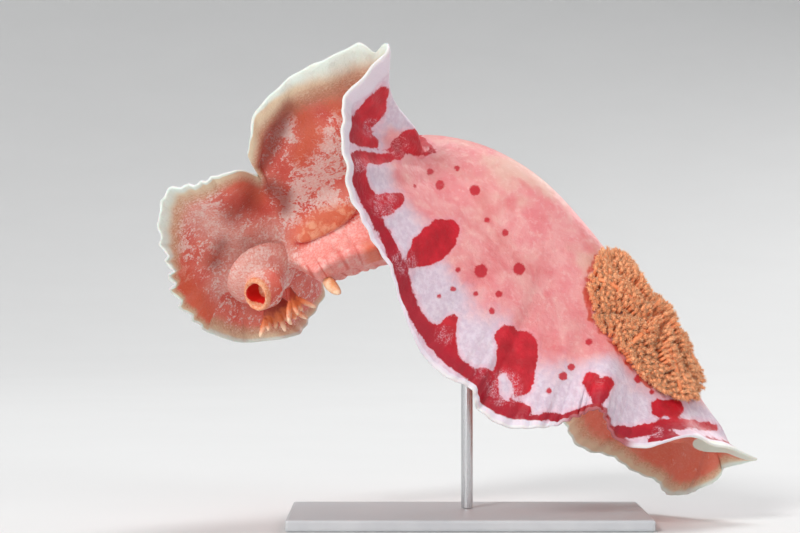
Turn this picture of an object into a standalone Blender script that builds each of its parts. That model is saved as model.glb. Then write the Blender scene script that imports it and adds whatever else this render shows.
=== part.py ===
"""Spanish dancer nudibranch, swimming, as a life-size display model on a plain stand.

Metres, +Z up. The animal's head is towards -X, its tail towards +X, and its left side towards -Y.
The origin is the middle of the underside of the whole model's box, on the floor.
"""

import math
import random

import bmesh
import bpy
import numpy as np
from mathutils import Vector
from mathutils.bvhtree import BVHTree

MM = 0.001
OBJECT = "spanish_dancer"
# Clear space between two neighbouring nodes, mm; the foot lies inside the body's bend, which
# narrows the space between its nodes.
GAP = 0.30
FOOT_GAP = 0.9

# Height of the animal's reference point, the level that the tables below count from, mm.
LEVEL = 105.5

# The line along the middle of the mantle, head to tail: x, y, z in mm, then the roll of the back
# towards the left side in degrees, and in mm the height of the back above the mantle, the depth of
# the belly below it, and the half width of the trunk.
SPINE = (
    (-92, 6, 1, -40, 5, 9, 15),
    (-71, 6, 13, -36, 7, 11, 19),
    (-49, 5, 26, -28, 11, 13, 25),
    (-25, 3, 37, -14, 15, 15, 32),
    (-1, 0, 37, 8, 16, 16, 36),
    (22, 0, 28, 22, 14, 17, 37),
    (43, 2, 10, 28, 12, 17, 36),
    (62, 3, -10, 28, 9, 16, 32),
    (81, 3, -31, 26, 6, 14, 27),
    (95, 3, -54, 20, 4, 11, 20),
    (106, 2, -68, 12, 3, 7, 12),
)

# The edge of the mantle on each side, from the middle of the front to the tip of the tail:
# the place of the ray's root along the spine, 0 to 1, then x, y, z of the edge in mm.
LEFT_EDGE = (
    (0.000, -106, 2, -25),
    (0.004, -115, -14, -14),
    (0.010, -119, -28, 0),
    (0.016, -122, -38, 19),
    (0.022, -117, -45, 31),
    (0.032, -103, -46, 37),
    (0.050, -92, -42, 41),
    (0.080, -82, -28, 39),
    (0.118, -86, -40, 49),
    (0.150, -84, -50, 63),
    (0.182, -74, -55, 74),
    (0.220, -56, -58, 85),
    (0.260, -41, -60, 90),
    (0.320, -30, -66, 88),
    (0.355, -36, -70, 79),
    (0.375, -44, -74, 68),
    (0.392, -47, -76, 55),
    (0.410, -46, -76, 40),
    (0.430, -41, -74, 26),
    (0.452, -33, -70, 10),
    (0.477, -26, -64, -7),
    (0.505, -18, -60, -27),
    (0.530, -7, -56, -41),
    (0.550, 3, -54, -46),
    (0.570, 7, -52, -54),
    (0.595, 16, -50, -61),
    (0.627, 28, -48, -63),
    (0.665, 40, -46, -61),
    (0.700, 49, -47, -56),
    (0.730, 57, -45, -57),
    (0.755, 61, -41, -66),
    (0.800, 75, -37, -71),
    (0.850, 89, -31, -68),
    (0.910, 103, -22, -71),
    (0.960, 115, -11, -74),
    (1.000, 125, 0, -79),
)
RIGHT_EDGE = (
    (0.000, -106, 2, -25),
    (0.010, -90, 18, -30),
    (0.020, -71, 36, -26),
    (0.050, -58, 54, -12),
    (0.090, -54, 66, 13),
    (0.140, -58, 70, 34),
    (0.210, -48, 74, 55),
    (0.280, -35, 78, 62),
    (0.350, -16, 82, 51),
    (0.430, 5, 82, 34),
    (0.510, 26, 74, 5),
    (0.590, 40, 64, -32),
    (0.660, 42, 55, -58),
    (0.730, 52, 47, -73),
    (0.800, 70, 42, -81),
    (0.860, 83, 36, -91),
    (0.910, 94, 30, -96),
    (0.950, 105, 20, -93),
    (0.980, 112, 10, -84),
    (1.000, 125, 0, -79),
)
LEFT, RIGHT = 1, -1

# How far the mantle runs sideways before it bends, as a share of the way to its edge.
REACH = 0.50

# Where the left flap lifts off the back: the place along the spine, its spread, and the lift in mm.
SADDLE_AT = 0.350
SADDLE_SPREAD = 0.075
SADDLE_LIFT = (10, 0, 8)

# Where the left flap is drawn in below its upper corner: the place along the spine and its spread,
# the line and its spread, and the pull in mm.
WEB_AT = 0.335
WEB_SPREAD = 0.050
WEB_LINE = 0.76
WEB_WIDE = 0.30
WEB_PULL = (-6.5, 0, -1)

# The rolled margin of the left front lobe: place round the edge and half length, the lines
# between which it rises, and its height in mm towards the underside.
ROLL_AT = 0.285
ROLL_HALF = 0.085
ROLL_LINES = (0.76, 0.92)
ROLL_HEIGHT = 4.0

# Thickness of the mantle where it leaves the trunk and at its edge, mm.
MANTLE_ROOT = 5.0
MANTLE_EDGE = 1.3

# Ruffles of the mantle's edge on each side: height in mm, waves along the edge, phase.
RUFFLES = {
    LEFT: ((1.2, 11.0, 0.3), (0.7, 27.0, 1.1)),
    RIGHT: ((3.6, 6.5, 0.6), (1.8, 15.0, 2.0)),
}

# Rays that the nodes are drawn on, and the lines that cross them between the spine and the edge.
RAYS = 65
LINES = (0.0, 0.055, 0.11, 0.175, 0.255, 0.335, 0.42, 0.55, 0.69, 0.84, 1.0)
FOOT_LINE = 2
BACK_LINE = 7

# Nodes of the back, by the places along the spine where they end.
BACK_NODES = (("back_front", 0.0, 0.30), ("back_middle", 0.30, 0.66), ("back_rear", 0.66, 1.0))
FOOT_NODES = (("foot_front", 0.085, 0.52), ("foot_rear", 0.52, 0.97))
# Nodes of the mantle: the side or sides and where each begins and ends.
MANTLE_NODES = (
    ("mantle_front", ((LEFT, 0.0, 0.125), (RIGHT, 0.0, 0.125))),
    ("mantle_left_1", ((LEFT, 0.125, 0.300),)),
    ("mantle_left_2", ((LEFT, 0.300, 0.500),)),
    ("mantle_left_3", ((LEFT, 0.500, 0.755),)),
    ("mantle_right_1", ((RIGHT, 0.125, 0.300),)),
    ("mantle_right_2", ((RIGHT, 0.300, 0.550),)),
    ("mantle_right_3", ((RIGHT, 0.550, 0.800),)),
    ("mantle_tail", ((LEFT, 0.755, 1.0), (RIGHT, 0.800, 1.0))),
)

# Depth of the foot below the belly along the middle, mm, and of its side, as a share of that.
FOOT_DEPTH = ((0.0, 10.0), (0.1, 13.0), (0.2, 15.0), (0.3, 16.0), (0.5, 12.0), (0.75, 8.0), (0.97, 5.0), (1.0, 4.0))
FOOT_PROFILE = (0.90, 1.0, 0.70)
# Small lobes that hang from the foot: the spine place, then base radius and length in mm.
FOOT_LOBES = (("foot_lobe_front", 0.122, 2.4, 9.0), ("foot_lobe_rear", 0.280, 2.8, 7.5))

# Distances within which a union's points are merged, mm: the widest that leaves it closed is used.
MERGE_STEPS = (0.05, 0.04, 0.03, 0.02, 0.012, 0.006, 0.003, 0.001)

# The gills' ring on the back: its place along the spine, its shift to the left,
# and its half length and half width in mm.
GILL_PLACE = 0.770
GILL_ASIDE = 10.0
GILL_RING = (36.0, 21.0)
GILL_COUNT = 6
GILL_ROOT = 0.20
GILL_HEIGHT = 9.5
GILL_STEM = (2.1, 0.9)
GILL_BRANCHES = 11
GILL_SECTOR = 0.46

# Smell organs on the back behind the head: spine place, distance from the middle, and outline as
# height above the back and radius, mm.
RHINOPHORE_PLACE = 0.075
RHINOPHORE_APART = 6.5
RHINOPHORE_STALK = ((0.0, 2.3), (1.2, 2.0), (3.4, 1.9))
RHINOPHORE_PLATES = 5
RHINOPHORE_PLATE = (1.35, 3.1, 2.3)

# Head: its place along the spine, its neck's height, half width and half length, the way the mouth
# faces, and its rings as distance along that way, half width and half height, mm.
HEAD_PLACE = 0.030
HEAD_NECK = (4.0, 6.6, 7.6)
HEAD_WAY = (-0.42, -0.81, -0.42)
HEAD_RINGS = (
    (4.0, 6.2, 7.4), (7.0, 6.2, 7.4), (9.0, 5.4, 6.6), (10.0, 4.3, 5.5),
    (9.2, 3.3, 4.5), (6.4, 2.5, 3.6), (3.4, 1.6, 2.4),
)
HEAD_SIDES = 16

# Mouth feelers: root, way, way across, palm half width, palm length and number of fingers.
FEELERS = (
    ("oral_tentacle_left", (-70.5, -8.0, -8.5), (0.42, 0.10, -0.90), (0.70, 0.62, 0.35), 3.4, 6.5, 3),
    ("oral_tentacle_right", (-77.5, 4.0, -12.5), (0.35, -0.10, -0.93), (0.93, 0.05, 0.36), 7.5, 8.5, 5),
)

# Leaf-shaped folds on the flanks: side, spine place, line place, half lengths along both, thickness.
FLANK_FOLDS = (
    ("flank_fold_left", LEFT, 0.166, 0.168, 0.050, 0.046, 3.0),
    ("flank_fold_right", RIGHT, 0.166, 0.168, 0.050, 0.046, 3.0),
)

# Display stand, mm: the base's middle and size, and the rod's place and radius.
BASE_MIDDLE = (4.0, 0.0)
BASE_SIZE = (150.0, 84.0, 5.0)
BASE_EDGE = 1.2
ROD_PLACE = (4.0, 10.0)
ROD_RADIUS = 2.5
ROD_SIDES = 16
ROD_CLEAR = 0.5


def smooth_curve(keys, rows):
    """A smooth line through the rows, which stand at the keys."""
    keys = np.asarray(keys, float)
    rows = np.asarray(rows, float)
    slopes = np.gradient(rows, keys, axis=0)

    def at(key):
        key = np.clip(np.asarray(key, float), keys[0], keys[-1])
        i = np.clip(np.searchsorted(keys, key, side="right") - 1, 0, len(keys) - 2)
        span = (keys[i + 1] - keys[i])[..., None]
        f = (key - keys[i])[..., None] / span
        start = (1 + 2 * f) * (1 - f) ** 2 * rows[i] + f * (1 - f) ** 2 * span * slopes[i]
        end = f * f * (3 - 2 * f) * rows[i + 1] - f * f * (1 - f) * span * slopes[i + 1]
        return start + end

    return at


def unit(vectors):
    return vectors / np.maximum(np.linalg.norm(vectors, axis=-1, keepdims=True), 1e-12)


def dot(a, b):
    return (a * b).sum(-1, keepdims=True)


def bump(x):
    return np.clip(1 - x * x, 0, 1) ** 2


spine_at = smooth_curve(np.linspace(0, 1, len(SPINE)), SPINE)
edge_at = {
    LEFT: smooth_curve(np.linspace(0, 1, len(LEFT_EDGE)), LEFT_EDGE),
    RIGHT: smooth_curve(np.linspace(0, 1, len(RIGHT_EDGE)), RIGHT_EDGE),
}


def turn_at(side, s):
    """The place round the edge, 0 to 1, of the ray that leaves the spine at s."""
    turns = np.linspace(0, 1, 4001)
    roots = np.maximum.accumulate(edge_at[side](turns)[..., 0])
    return np.interp(s, roots, turns)


def spine_frame(s):
    """Place, direction towards the tail, direction out of the back, and direction to the left."""
    step = 0.004
    place = spine_at(s)[..., :3]
    along = unit(spine_at(np.clip(s + step, 0, 1))[..., :3] - spine_at(np.clip(s - step, 0, 1))[..., :3])
    roll = np.radians(spine_at(s)[..., 3:4])
    left = unit(np.array([0.0, -1.0, 0.0]) - along * dot(np.array([0.0, -1.0, 0.0]), along))
    out = np.cross(left, along)
    out = out * np.sign(out[..., 2:3])
    back = out * np.cos(roll) + left * np.sin(roll)
    return place, along, back, left * np.cos(roll) - out * np.sin(roll)


def bare_sheet(side, t, v):
    """The mantle's middle surface before its ruffles: t runs round the edge, v from spine to edge."""
    row = edge_at[side](t)
    place, _, back, _ = spine_frame(row[..., 0])
    chord = row[..., 1:4] - place
    level = unit(chord - back * dot(chord, back))
    turn = place + level * REACH * np.linalg.norm(chord, axis=-1, keepdims=True)
    if side == LEFT:
        turn = turn + np.exp(-((row[..., :1] - SADDLE_AT) / SADDLE_SPREAD) ** 2) * np.array(SADDLE_LIFT)
    web = np.exp(-((row[..., 0] - WEB_AT) / WEB_SPREAD) ** 2) * bump((v - WEB_LINE) / WEB_WIDE)
    v = v[..., None]
    bent = (1 - v) ** 2 * place + 2 * v * (1 - v) * turn + v**2 * row[..., 1:4]
    return bent + web[..., None] * np.array(WEB_PULL) * (side == LEFT)


def one_side_normal(surface, side, t, v):
    step = 0.002
    before, after = np.clip(t - step, 0, 1), np.clip(t + step, 0, 1)
    low, high = np.clip(v - step, 0, 1), np.clip(v + step, 0, 1)
    round_edge = surface(side, after, v) - surface(side, before, v)
    outward = surface(side, t, high) - surface(side, t, low)
    return unit(np.cross(outward, round_edge)) * side


def normal_of(surface, side, t, v):
    """The surface's direction out of the back, the same for both sides where they meet."""
    normal = one_side_normal(surface, side, t, v)
    for end in (0.0, 1.0):
        near = np.clip(1 - np.abs(t - end) / 0.025, 0, 1)[..., None]
        both = one_side_normal(surface, LEFT, t * 0 + end, v) + one_side_normal(surface, RIGHT, t * 0 + end, v)
        normal = unit(normal * (1 - near) + unit(both) * near)
    back = spine_frame(edge_at[side](t)[..., 0])[2]
    blend = np.clip(1 - v / 0.12, 0, 1)[..., None]
    return unit(normal * (1 - blend) + back * blend)


def roll(side, t, v):
    """How far the left front lobe's margin is rolled towards the underside."""
    low, high = ROLL_LINES
    f = np.clip((v - low) / (high - low), 0, 1)
    crease = 0.35 * bump((v - low + 0.02) / 0.14)
    return ROLL_HEIGHT * (f * f * (3 - 2 * f) - crease) * bump((t - ROLL_AT) / ROLL_HALF) * (side == LEFT)


def ruffle(side, t, v):
    """Height of the ruffles above the mantle, growing towards its edge."""
    ends = np.clip(np.minimum(t, 1 - t) / 0.08, 0, 1)
    height = sum(size * np.sin(2 * np.pi * waves * t + phase) for size, waves, phase in RUFFLES[side])
    return height * ends * v**2.4 - roll(side, t, v)


def sheet(side, t, v):
    """The mantle's middle surface."""
    return bare_sheet(side, t, v) + normal_of(bare_sheet, side, t, v) * ruffle(side, t, v)[..., None]


def faces_of_body(side, t, v):
    """The back's surface, the underside's, and the direction out of the back at each ray's root."""
    middle = sheet(side, t, v)
    normal = normal_of(sheet, side, t, v)
    row = edge_at[side](t)
    spine = spine_at(row[..., 0])
    length = np.linalg.norm(row[..., 1:4] - spine[..., :3], axis=-1)
    far = v * length / spine[..., 6]
    half = ((MANTLE_EDGE + (MANTLE_ROOT - MANTLE_EDGE) * (1 - v) ** 0.8) / 2)[..., None]
    back = spine_frame(row[..., 0])[2]
    hump = (spine[..., 4] * bump(far))[..., None]
    belly = (spine[..., 5] * bump(far))[..., None]
    return middle + normal * half + back * hump, middle - normal * half - back * belly, back


# The places along the spine of the rays that the nodes are drawn on.
STATIONS = np.maximum.accumulate(edge_at[LEFT](np.linspace(0, 1, RAYS))[..., 0])


def station(s):
    return int(np.argmin(np.abs(STATIONS - s)))


def clear_scene():
    """An empty scene with one collection for the parts."""
    for obj in list(bpy.data.objects):
        bpy.data.objects.remove(obj)
    bpy.context.scene.collection.children.link(bpy.data.collections.new(OBJECT))


def put_in(obj, collection):
    """Moves an object into one collection."""
    for group in list(obj.users_collection):
        group.objects.unlink(obj)
    collection.objects.link(obj)


def new_object(name, points, faces):
    """A mesh object from points in mm, counted from the reference point."""
    points = (np.asarray(points, float) + np.array([0, 0, LEVEL])) * MM
    mesh = bpy.data.meshes.new(name)
    mesh.from_pydata(points.tolist(), [], [tuple(f) for f in faces])
    mesh.validate()
    for polygon in mesh.polygons:
        polygon.use_smooth = True
    obj = bpy.data.objects.new(name, mesh)
    put_in(obj, bpy.data.collections[OBJECT])
    return obj


def closed_sheet(name, keys, faces, upper, lower):
    """A closed mesh between two faces' points. Walls are split alike in neighbouring nodes."""
    count = len(keys)
    directed = {(f[i], f[(i + 1) % 3]) for f in faces for i in range(3)}
    walls = []
    for a, b in sorted(directed):
        if (b, a) in directed:
            continue
        if keys[a] < keys[b]:
            walls += [(a, a + count, b + count), (a, b + count, b)]
        else:
            walls += [(b, a, a + count), (b, a + count, b + count)]
    under = [(a + count, c + count, b + count) for a, b, c in faces]
    return new_object(name, np.concatenate([upper, lower]), faces + under + walls)


def drawn_grid(side, first, last, low, high, gap):
    """Ray and line places of a node's sheet, drawn in by half a gap where it meets another node."""
    t, v = np.meshgrid(turn_at(side, STATIONS[first:last + 1]), np.array(LINES[low:high + 1]), indexing="ij")
    step = 0.001
    per_turn = np.linalg.norm(sheet(side, t + step, v) - sheet(side, t - step, v), axis=-1) / (2 * step)
    per_line = np.linalg.norm(sheet(side, t, v + step) - sheet(side, t, v), axis=-1) / step
    if first > 0:
        t[0] += gap / 2 / per_turn[0]
    if last < RAYS - 1:
        t[-1] -= gap / 2 / per_turn[-1]
    if low > 0:
        v[:, 0] += gap / 2 / per_line[:, 0]
    if high < len(LINES) - 1:
        v[:, -1] -= gap / 2 / per_line[:, -1]
    return t, v


def sheet_node(name, spans, low, high, between, gap=GAP):
    """A node over part of the body; between gives its upper and lower points from its places."""
    index, keys, upper, lower, faces = {}, [], [], [], []

    def key_of(side, ray, line):
        shared = line == 0 or ray in (0, RAYS - 1)
        return (ray, line if shared else line * side)

    for side, start, end in spans:
        first, last = station(start), station(end)
        t, v = drawn_grid(side, first, last, low, high, gap)
        above, below = between(side, t, v)
        for i in range(last - first + 1):
            for j in range(high - low + 1):
                key = key_of(side, first + i, low + j)
                if key not in index:
                    index[key] = len(keys)
                    keys.append(key)
                    upper.append(above[i, j])
                    lower.append(below[i, j])
        for i in range(first, last):
            for j in range(low, high):
                a, b = index[key_of(side, i, j)], index[key_of(side, i, j + 1)]
                c, d = index[key_of(side, i + 1, j + 1)], index[key_of(side, i + 1, j)]
                halves = ((a, b, d), (b, c, d)) if i == RAYS - 2 else ((a, b, c), (a, c, d))
                faces += [face if side == LEFT else face[::-1] for face in halves]
    return closed_sheet(name, keys, faces, np.array(upper), np.array(lower))


def body_between(side, t, v):
    above, below, _ = faces_of_body(side, t, v)
    return above, below


def foot_depth(s, share):
    """How far the foot's sole lies below the belly; share runs from the middle 0 to the side 1."""
    places, depths = zip(*FOOT_DEPTH)
    depth = np.interp(s, places, depths)
    profile = np.interp(share, np.linspace(0, 1, len(FOOT_PROFILE)), FOOT_PROFILE)
    folds = 1 + 0.10 * share * np.sin(2 * np.pi * 19 * s)
    return depth * profile * folds


def foot_between(side, t, v):
    """The foot lies on the belly with a gap between them."""
    _, belly, normal = faces_of_body(side, t, v)
    share = v / LINES[FOOT_LINE]
    depth = foot_depth(edge_at[side](t)[..., 0], share)[..., None]
    top = GAP * 1.25
    return belly - normal * top, belly - normal * (top + depth)


def make_body():
    for name, start, end in BACK_NODES:
        sheet_node(name, ((LEFT, start, end), (RIGHT, start, end)), 0, BACK_LINE, body_between)
    for name, spans in MANTLE_NODES:
        sheet_node(name, spans, BACK_LINE, len(LINES) - 1, body_between)
    for name, start, end in FOOT_NODES:
        sheet_node(name, ((LEFT, start, end), (RIGHT, start, end)), 0, FOOT_LINE, foot_between, FOOT_GAP)


def ring_frame(way, across):
    """Two directions square to the way, the first as near to across as can be."""
    way = unit(np.asarray(way, float))
    across = np.asarray(across, float)
    first = unit(across - way * dot(across, way))
    return way, first, np.cross(way, first)


def loft(rings):
    """Points and faces of a closed body through rings of equally many points."""
    sides = len(rings[0])
    points = [p for ring in rings for p in ring]
    faces = []
    for i in range(len(rings) - 1):
        for j in range(sides):
            a, b = i * sides + j, i * sides + (j + 1) % sides
            faces += [(a, b, b + sides), (a, b + sides, a + sides)]
    last = (len(rings) - 1) * sides
    faces += [(0, j + 1, j) for j in range(1, sides - 1)]
    faces += [(last, last + j, last + j + 1) for j in range(1, sides - 1)]
    return np.array(points), faces


def oval(middle, first, second, wide, deep, sides):
    return [middle + first * wide * math.cos(2 * math.pi * j / sides)
            + second * deep * math.sin(2 * math.pi * j / sides) for j in range(sides)]


def tube(path, widths, depths, across, sides):
    """A closed tube along a path, with its own width and depth at each point."""
    path = np.asarray(path, float)
    ways = np.gradient(path, axis=0)
    rings = []
    for middle, way, wide, deep in zip(path, ways, widths, depths):
        _, first, second = ring_frame(way, across)
        rings.append(oval(middle, first, second, wide, deep, sides))
    return loft(rings)


def fuse(name, parts):
    """One closed body from closed bodies that run into each other."""
    group = bpy.data.collections.new(name + "_parts")
    bpy.context.scene.collection.children.link(group)
    trunk = new_object(name, *parts[0])
    for i, part in enumerate(parts[1:]):
        put_in(new_object(f"{name}_{i}", *part), group)
    joining = trunk.modifiers.new("join", "BOOLEAN")
    joining.operation = "UNION"
    joining.operand_type = "COLLECTION"
    joining.collection = group
    joining.solver = "MANIFOLD"
    joined = trunk.evaluated_get(bpy.context.evaluated_depsgraph_get())
    mesh = bpy.data.meshes.new_from_object(joined)
    trunk.modifiers.clear()
    trunk.data = mesh
    for obj in list(group.objects):
        bpy.data.objects.remove(obj)
    bpy.data.collections.remove(group)
    keep_largest(mesh)
    return trunk


def keep_largest(mesh):
    """Removes all but the largest of a mesh's closed surfaces."""
    work = bmesh.new()
    work.from_mesh(mesh)
    work.verts.ensure_lookup_table()
    seen, islands = set(), []
    for start in work.verts:
        if start in seen:
            continue
        seen.add(start)
        island = [start]
        for vert in island:
            for edge in vert.link_edges:
                other = edge.other_vert(vert)
                if other not in seen:
                    seen.add(other)
                    island.append(other)
        islands.append(island)
    islands.sort(key=len)
    for island in islands[:-1]:
        bmesh.ops.delete(work, geom=island, context="VERTS")
    bmesh.ops.triangulate(work, faces=work.faces[:])
    for near in MERGE_STEPS:
        cleaner = work.copy()
        bmesh.ops.remove_doubles(cleaner, verts=cleaner.verts[:], dist=near * MM)
        closed = all(edge.is_manifold for edge in cleaner.edges)
        if closed:
            cleaner.to_mesh(mesh)
        cleaner.free()
        if closed:
            break
    else:
        work.to_mesh(mesh)
    work.free()


def surface_tree(names):
    """The faces of some finished nodes, in mm from the reference point, for finding places on them."""
    points, faces = [], []
    for name in names:
        mesh = bpy.data.objects[name].data
        start = len(points)
        points += [Vector(v.co / MM) - Vector((0, 0, LEVEL)) for v in mesh.vertices]
        faces += [[start + i for i in polygon.vertices] for polygon in mesh.polygons]
    return BVHTree.FromPolygons(points, faces)


def land(tree, point, way, clear=0.0):
    """The place where a line along the way through the point comes out of a body, clear of it by mm."""
    way = unit(np.asarray(way, float))
    start = np.asarray(point, float) + way * 60
    hit = tree.ray_cast(Vector(start), Vector(-way))[0]
    return (np.array(hit) if hit else np.asarray(point, float)) + way * clear


def landed_rings(tree, middle, way, across, wide, deep, sides, steps, clear):
    """Rings that lie on a body's surface and widen from the middle."""
    way, first, second = ring_frame(way, across)
    rings = []
    for i in range(1, steps + 1):
        ring = oval(np.asarray(middle, float), first, second, wide * i / steps, deep * i / steps, sides)
        rings.append([land(tree, p, way, clear) for p in ring])
    return rings


def make_head():
    """A neck on the belly that bends towards the way the mouth faces."""
    belly = surface_tree(["back_front"])
    place, along, back, _ = (a[0] for a in spine_frame(np.array([HEAD_PLACE])))
    high, wide, long = HEAD_NECK
    _, across, _ = ring_frame(-back, (1, 0, 0))
    rings = landed_rings(belly, place, -back, across, wide, long, HEAD_SIDES, 3, 0.6)
    way, first, second = ring_frame(HEAD_WAY, (1, 0, 0))
    start = land(belly, place, -back, high)
    free = [oval(start + way * far, first, second, wide, deep, HEAD_SIDES) for far, wide, deep in HEAD_RINGS]
    neck, throat = np.array(rings[-1]), np.array(free[0])
    rings += [list(neck + (throat - neck) * f) for f in (0.35, 0.7)]
    new_object("head", *loft(rings + free))


def make_feelers():
    for name, root, way, across, half, length, fingers in FEELERS:
        way, first, second = ring_frame(way, across)
        root = np.array(root)
        shape = ((0.0, 0.45), (0.35, 0.8), (0.8, 1.0), (1.0, 0.85))
        path = [root + way * length * f for f, _ in shape]
        palm = tube(path, [half * w for _, w in shape], (1.1, 1.0, 0.9, 0.7), first, 10)
        parts = [palm]
        for i in range(fingers):
            lean = (i / (fingers - 1) - 0.5) * 2
            start = root + way * length * 0.80 + first * half * 0.78 * lean
            toward = unit(way + first * 0.75 * lean + second * 0.15 * math.sin(2.3 * i))
            reach = 5.5 + 1.5 * math.cos(2.0 * i)
            line = [start, start + toward * reach * 0.5, start + toward * reach + second * 0.7]
            parts.append(tube(line, (1.2, 1.25, 0.6), (1.0, 1.0, 0.6), first, 6))
        fuse(name, parts)


def make_flank_folds():
    """Leaf-shaped pads on the underside of the mantle beside the trunk."""
    rings, sides = 4, 18
    for name, side, s, v, long, across, thick in FLANK_FOLDS:
        where = [(s, v, 0.0)]
        for i in range(1, rings + 1):
            for j in range(sides):
                angle = 2 * math.pi * j / sides
                far = i / rings
                where.append((s + long * far * math.cos(angle), v + across * far * math.sin(angle), far))
        places = np.array(where)
        _, under, back = faces_of_body(side, turn_at(side, places[:, 0]), places[:, 1])
        normal = normal_of(sheet, side, turn_at(side, places[:, 0]), places[:, 1])
        rise = 0.6 + thick * np.sqrt(np.clip(1 - places[:, 2:] ** 2, 0, 1))
        faces = [(0, 1 + j, 1 + (j + 1) % sides) for j in range(sides)]
        for i in range(rings - 1):
            for j in range(sides):
                a, b = 1 + i * sides + j, 1 + i * sides + (j + 1) % sides
                faces += [(a, a + sides, b + sides), (a, b + sides, b)]
        if side == LEFT:
            faces = [face[::-1] for face in faces]
        keys = [(i,) for i in range(len(places))]
        closed_sheet(name, keys, faces, under - normal * 0.8, under - normal * (0.8 + rise))


def make_foot_lobes():
    for name, s, radius, length in FOOT_LOBES:
        foot = surface_tree(["foot_front"])
        place, along, back, left = (a[0] for a in spine_frame(np.array([s])))
        start = land(foot, place - left * 2.0, -back, 0.5 + radius * 0.35)
        down = unit(-back + left * 0.1)
        path = [start + down * length * f + along * 1.5 * f * f for f in (0, 0.35, 0.7, 1)]
        shape = (1.0, 1.05, 0.8, 0.4)
        new_object(name, *tube(path, [radius * f for f in shape], [radius * 0.8 * f for f in shape], along, 10))


def make_rhinophores():
    back_tree = surface_tree(["back_front"])
    place, along, back, left = (a[0] for a in spine_frame(np.array([RHINOPHORE_PLACE])))
    outline = list(RHINOPHORE_STALK)
    height = RHINOPHORE_STALK[-1][0]
    rise, wide, narrow = RHINOPHORE_PLATE
    for i in range(RHINOPHORE_PLATES):
        taper = 1 - 0.09 * i
        outline += [(height + rise * (i + 0.35), wide * taper), (height + rise * (i + 0.95), narrow * taper)]
    top = height + rise * RHINOPHORE_PLATES
    outline += [(top + 0.8, 1.1), (top + 1.6, 0.5)]
    for name, side in (("rhinophore_left", LEFT), ("rhinophore_right", RIGHT)):
        way = unit(back + left * side * 0.18 - along * 0.12)
        start = land(back_tree, place + left * side * RHINOPHORE_APART, way, 1.2)
        path = [start + way * far for far, _ in outline]
        radii = [radius for _, radius in outline]
        new_object(name, *tube(path, radii, radii, along, 10))


def gill_place(tree, centre, along, left, up, far, aside, height):
    """A place over the gills' ring, far from its middle, aside to the left, and above the back."""
    ground = land(tree, centre + along * far + left * (aside + GILL_ASIDE), up)
    return ground + up * height


def make_gills():
    chance = random.Random(7)
    tree = surface_tree(["back_rear", "back_middle", "mantle_tail", "mantle_left_3", "mantle_right_3"])
    centre, along, up, left = (a[0] for a in spine_frame(np.array([GILL_PLACE])))
    for index in range(GILL_COUNT):
        angle = 2 * math.pi * (index + 0.5) / GILL_COUNT
        turn = (math.cos(angle), math.sin(angle))

        def place(out, aside, height):
            """Out and aside as shares of the ring, aside square to this gill's own way."""
            far = (turn[0] * out - turn[1] * aside) * GILL_RING[0]
            lean = (turn[1] * out + turn[0] * aside) * GILL_RING[1]
            return gill_place(tree, centre, along, left, up, far, lean, height)

        def twig(start, end, wide, deep):
            across = np.cross(end - start, up)
            return tube((start, end), (wide * 0.6, wide), (deep, deep * 0.7), across, 4)

        stem_at = ((GILL_ROOT, 1.5), (GILL_ROOT, 3.4), (0.30, 5.6), (0.50, 6.4), (0.72, 6.4), (0.90, 5.2))
        stem = [place(out, 0.0, height) for out, height in stem_at]
        radii = np.linspace(*GILL_STEM, len(stem))
        parts = [tube(stem, radii, radii, np.cross(stem[-1] - stem[0], up), 6)]
        for i in range(GILL_BRANCHES):
            share = (i + 1) / GILL_BRANCHES
            side = 0 if i == GILL_BRANCHES - 1 else (1 if i % 2 else -1)
            out = 0.30 + 0.58 * share
            reach = min(1.0, out + 0.10 + 0.04 * chance.random())
            aside = side * GILL_SECTOR * (reach - 0.10) * (0.85 + 0.15 * chance.random())
            height = GILL_HEIGHT * (0.75 + 0.25 * chance.random()) - 3.0 * share
            start = place(out, 0.0, 5.8)
            end = place(reach, aside, height)
            parts.append(twig(start, end, 2.6, 1.1))
            at = start + (end - start) * 0.45
            tip = place(reach - 0.09, aside * 0.85, height + 1.0 + chance.random())
            parts.append(twig(at, tip, 1.7, 0.8))
        fuse(f"gill_{index + 1}", parts)
    ring = [gill_place(tree, centre, along, left, up, 0, 0, h) for h in (1.4, 3.2, 5.0)]
    new_object("anal_papilla", *tube(ring, (1.9, 1.8, 1.3), (1.9, 1.8, 1.3), along, 10))


def make_base():
    bpy.ops.mesh.primitive_cube_add(size=1)
    base = bpy.context.object
    base.name = "stand_base"
    put_in(base, bpy.data.collections[OBJECT])
    size = np.array(BASE_SIZE)
    for vert in base.data.vertices:
        spot = np.array(vert.co) * size + np.array([*BASE_MIDDLE, size[2] / 2])
        vert.co = Vector(spot * MM)
    edge = base.modifiers.new("edge", "BEVEL")
    edge.width = BASE_EDGE * MM
    edge.segments = 2
    mesh = bpy.data.meshes.new_from_object(base.evaluated_get(bpy.context.evaluated_depsgraph_get()))
    base.modifiers.clear()
    base.data = mesh


def make_rod():
    """A round rod from the base up to the foot, its top cut to the foot's slope."""
    foot = surface_tree([name for name, _, _ in FOOT_NODES])
    bpy.ops.mesh.primitive_cylinder_add(vertices=ROD_SIDES, radius=ROD_RADIUS * MM, depth=MM, end_fill_type="TRIFAN")
    rod = bpy.context.object
    rod.name = "stand_rod"
    put_in(rod, bpy.data.collections[OBJECT])
    for vert in rod.data.vertices:
        x, y = vert.co.x / MM + ROD_PLACE[0], vert.co.y / MM + ROD_PLACE[1]
        top = land(foot, (x, y, 0.0), (0, 0, -1), ROD_CLEAR)[2] + LEVEL
        z = top if vert.co.z > 0 else BASE_SIZE[2] + GAP
        vert.co = Vector((x, y, z)) * MM


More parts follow.
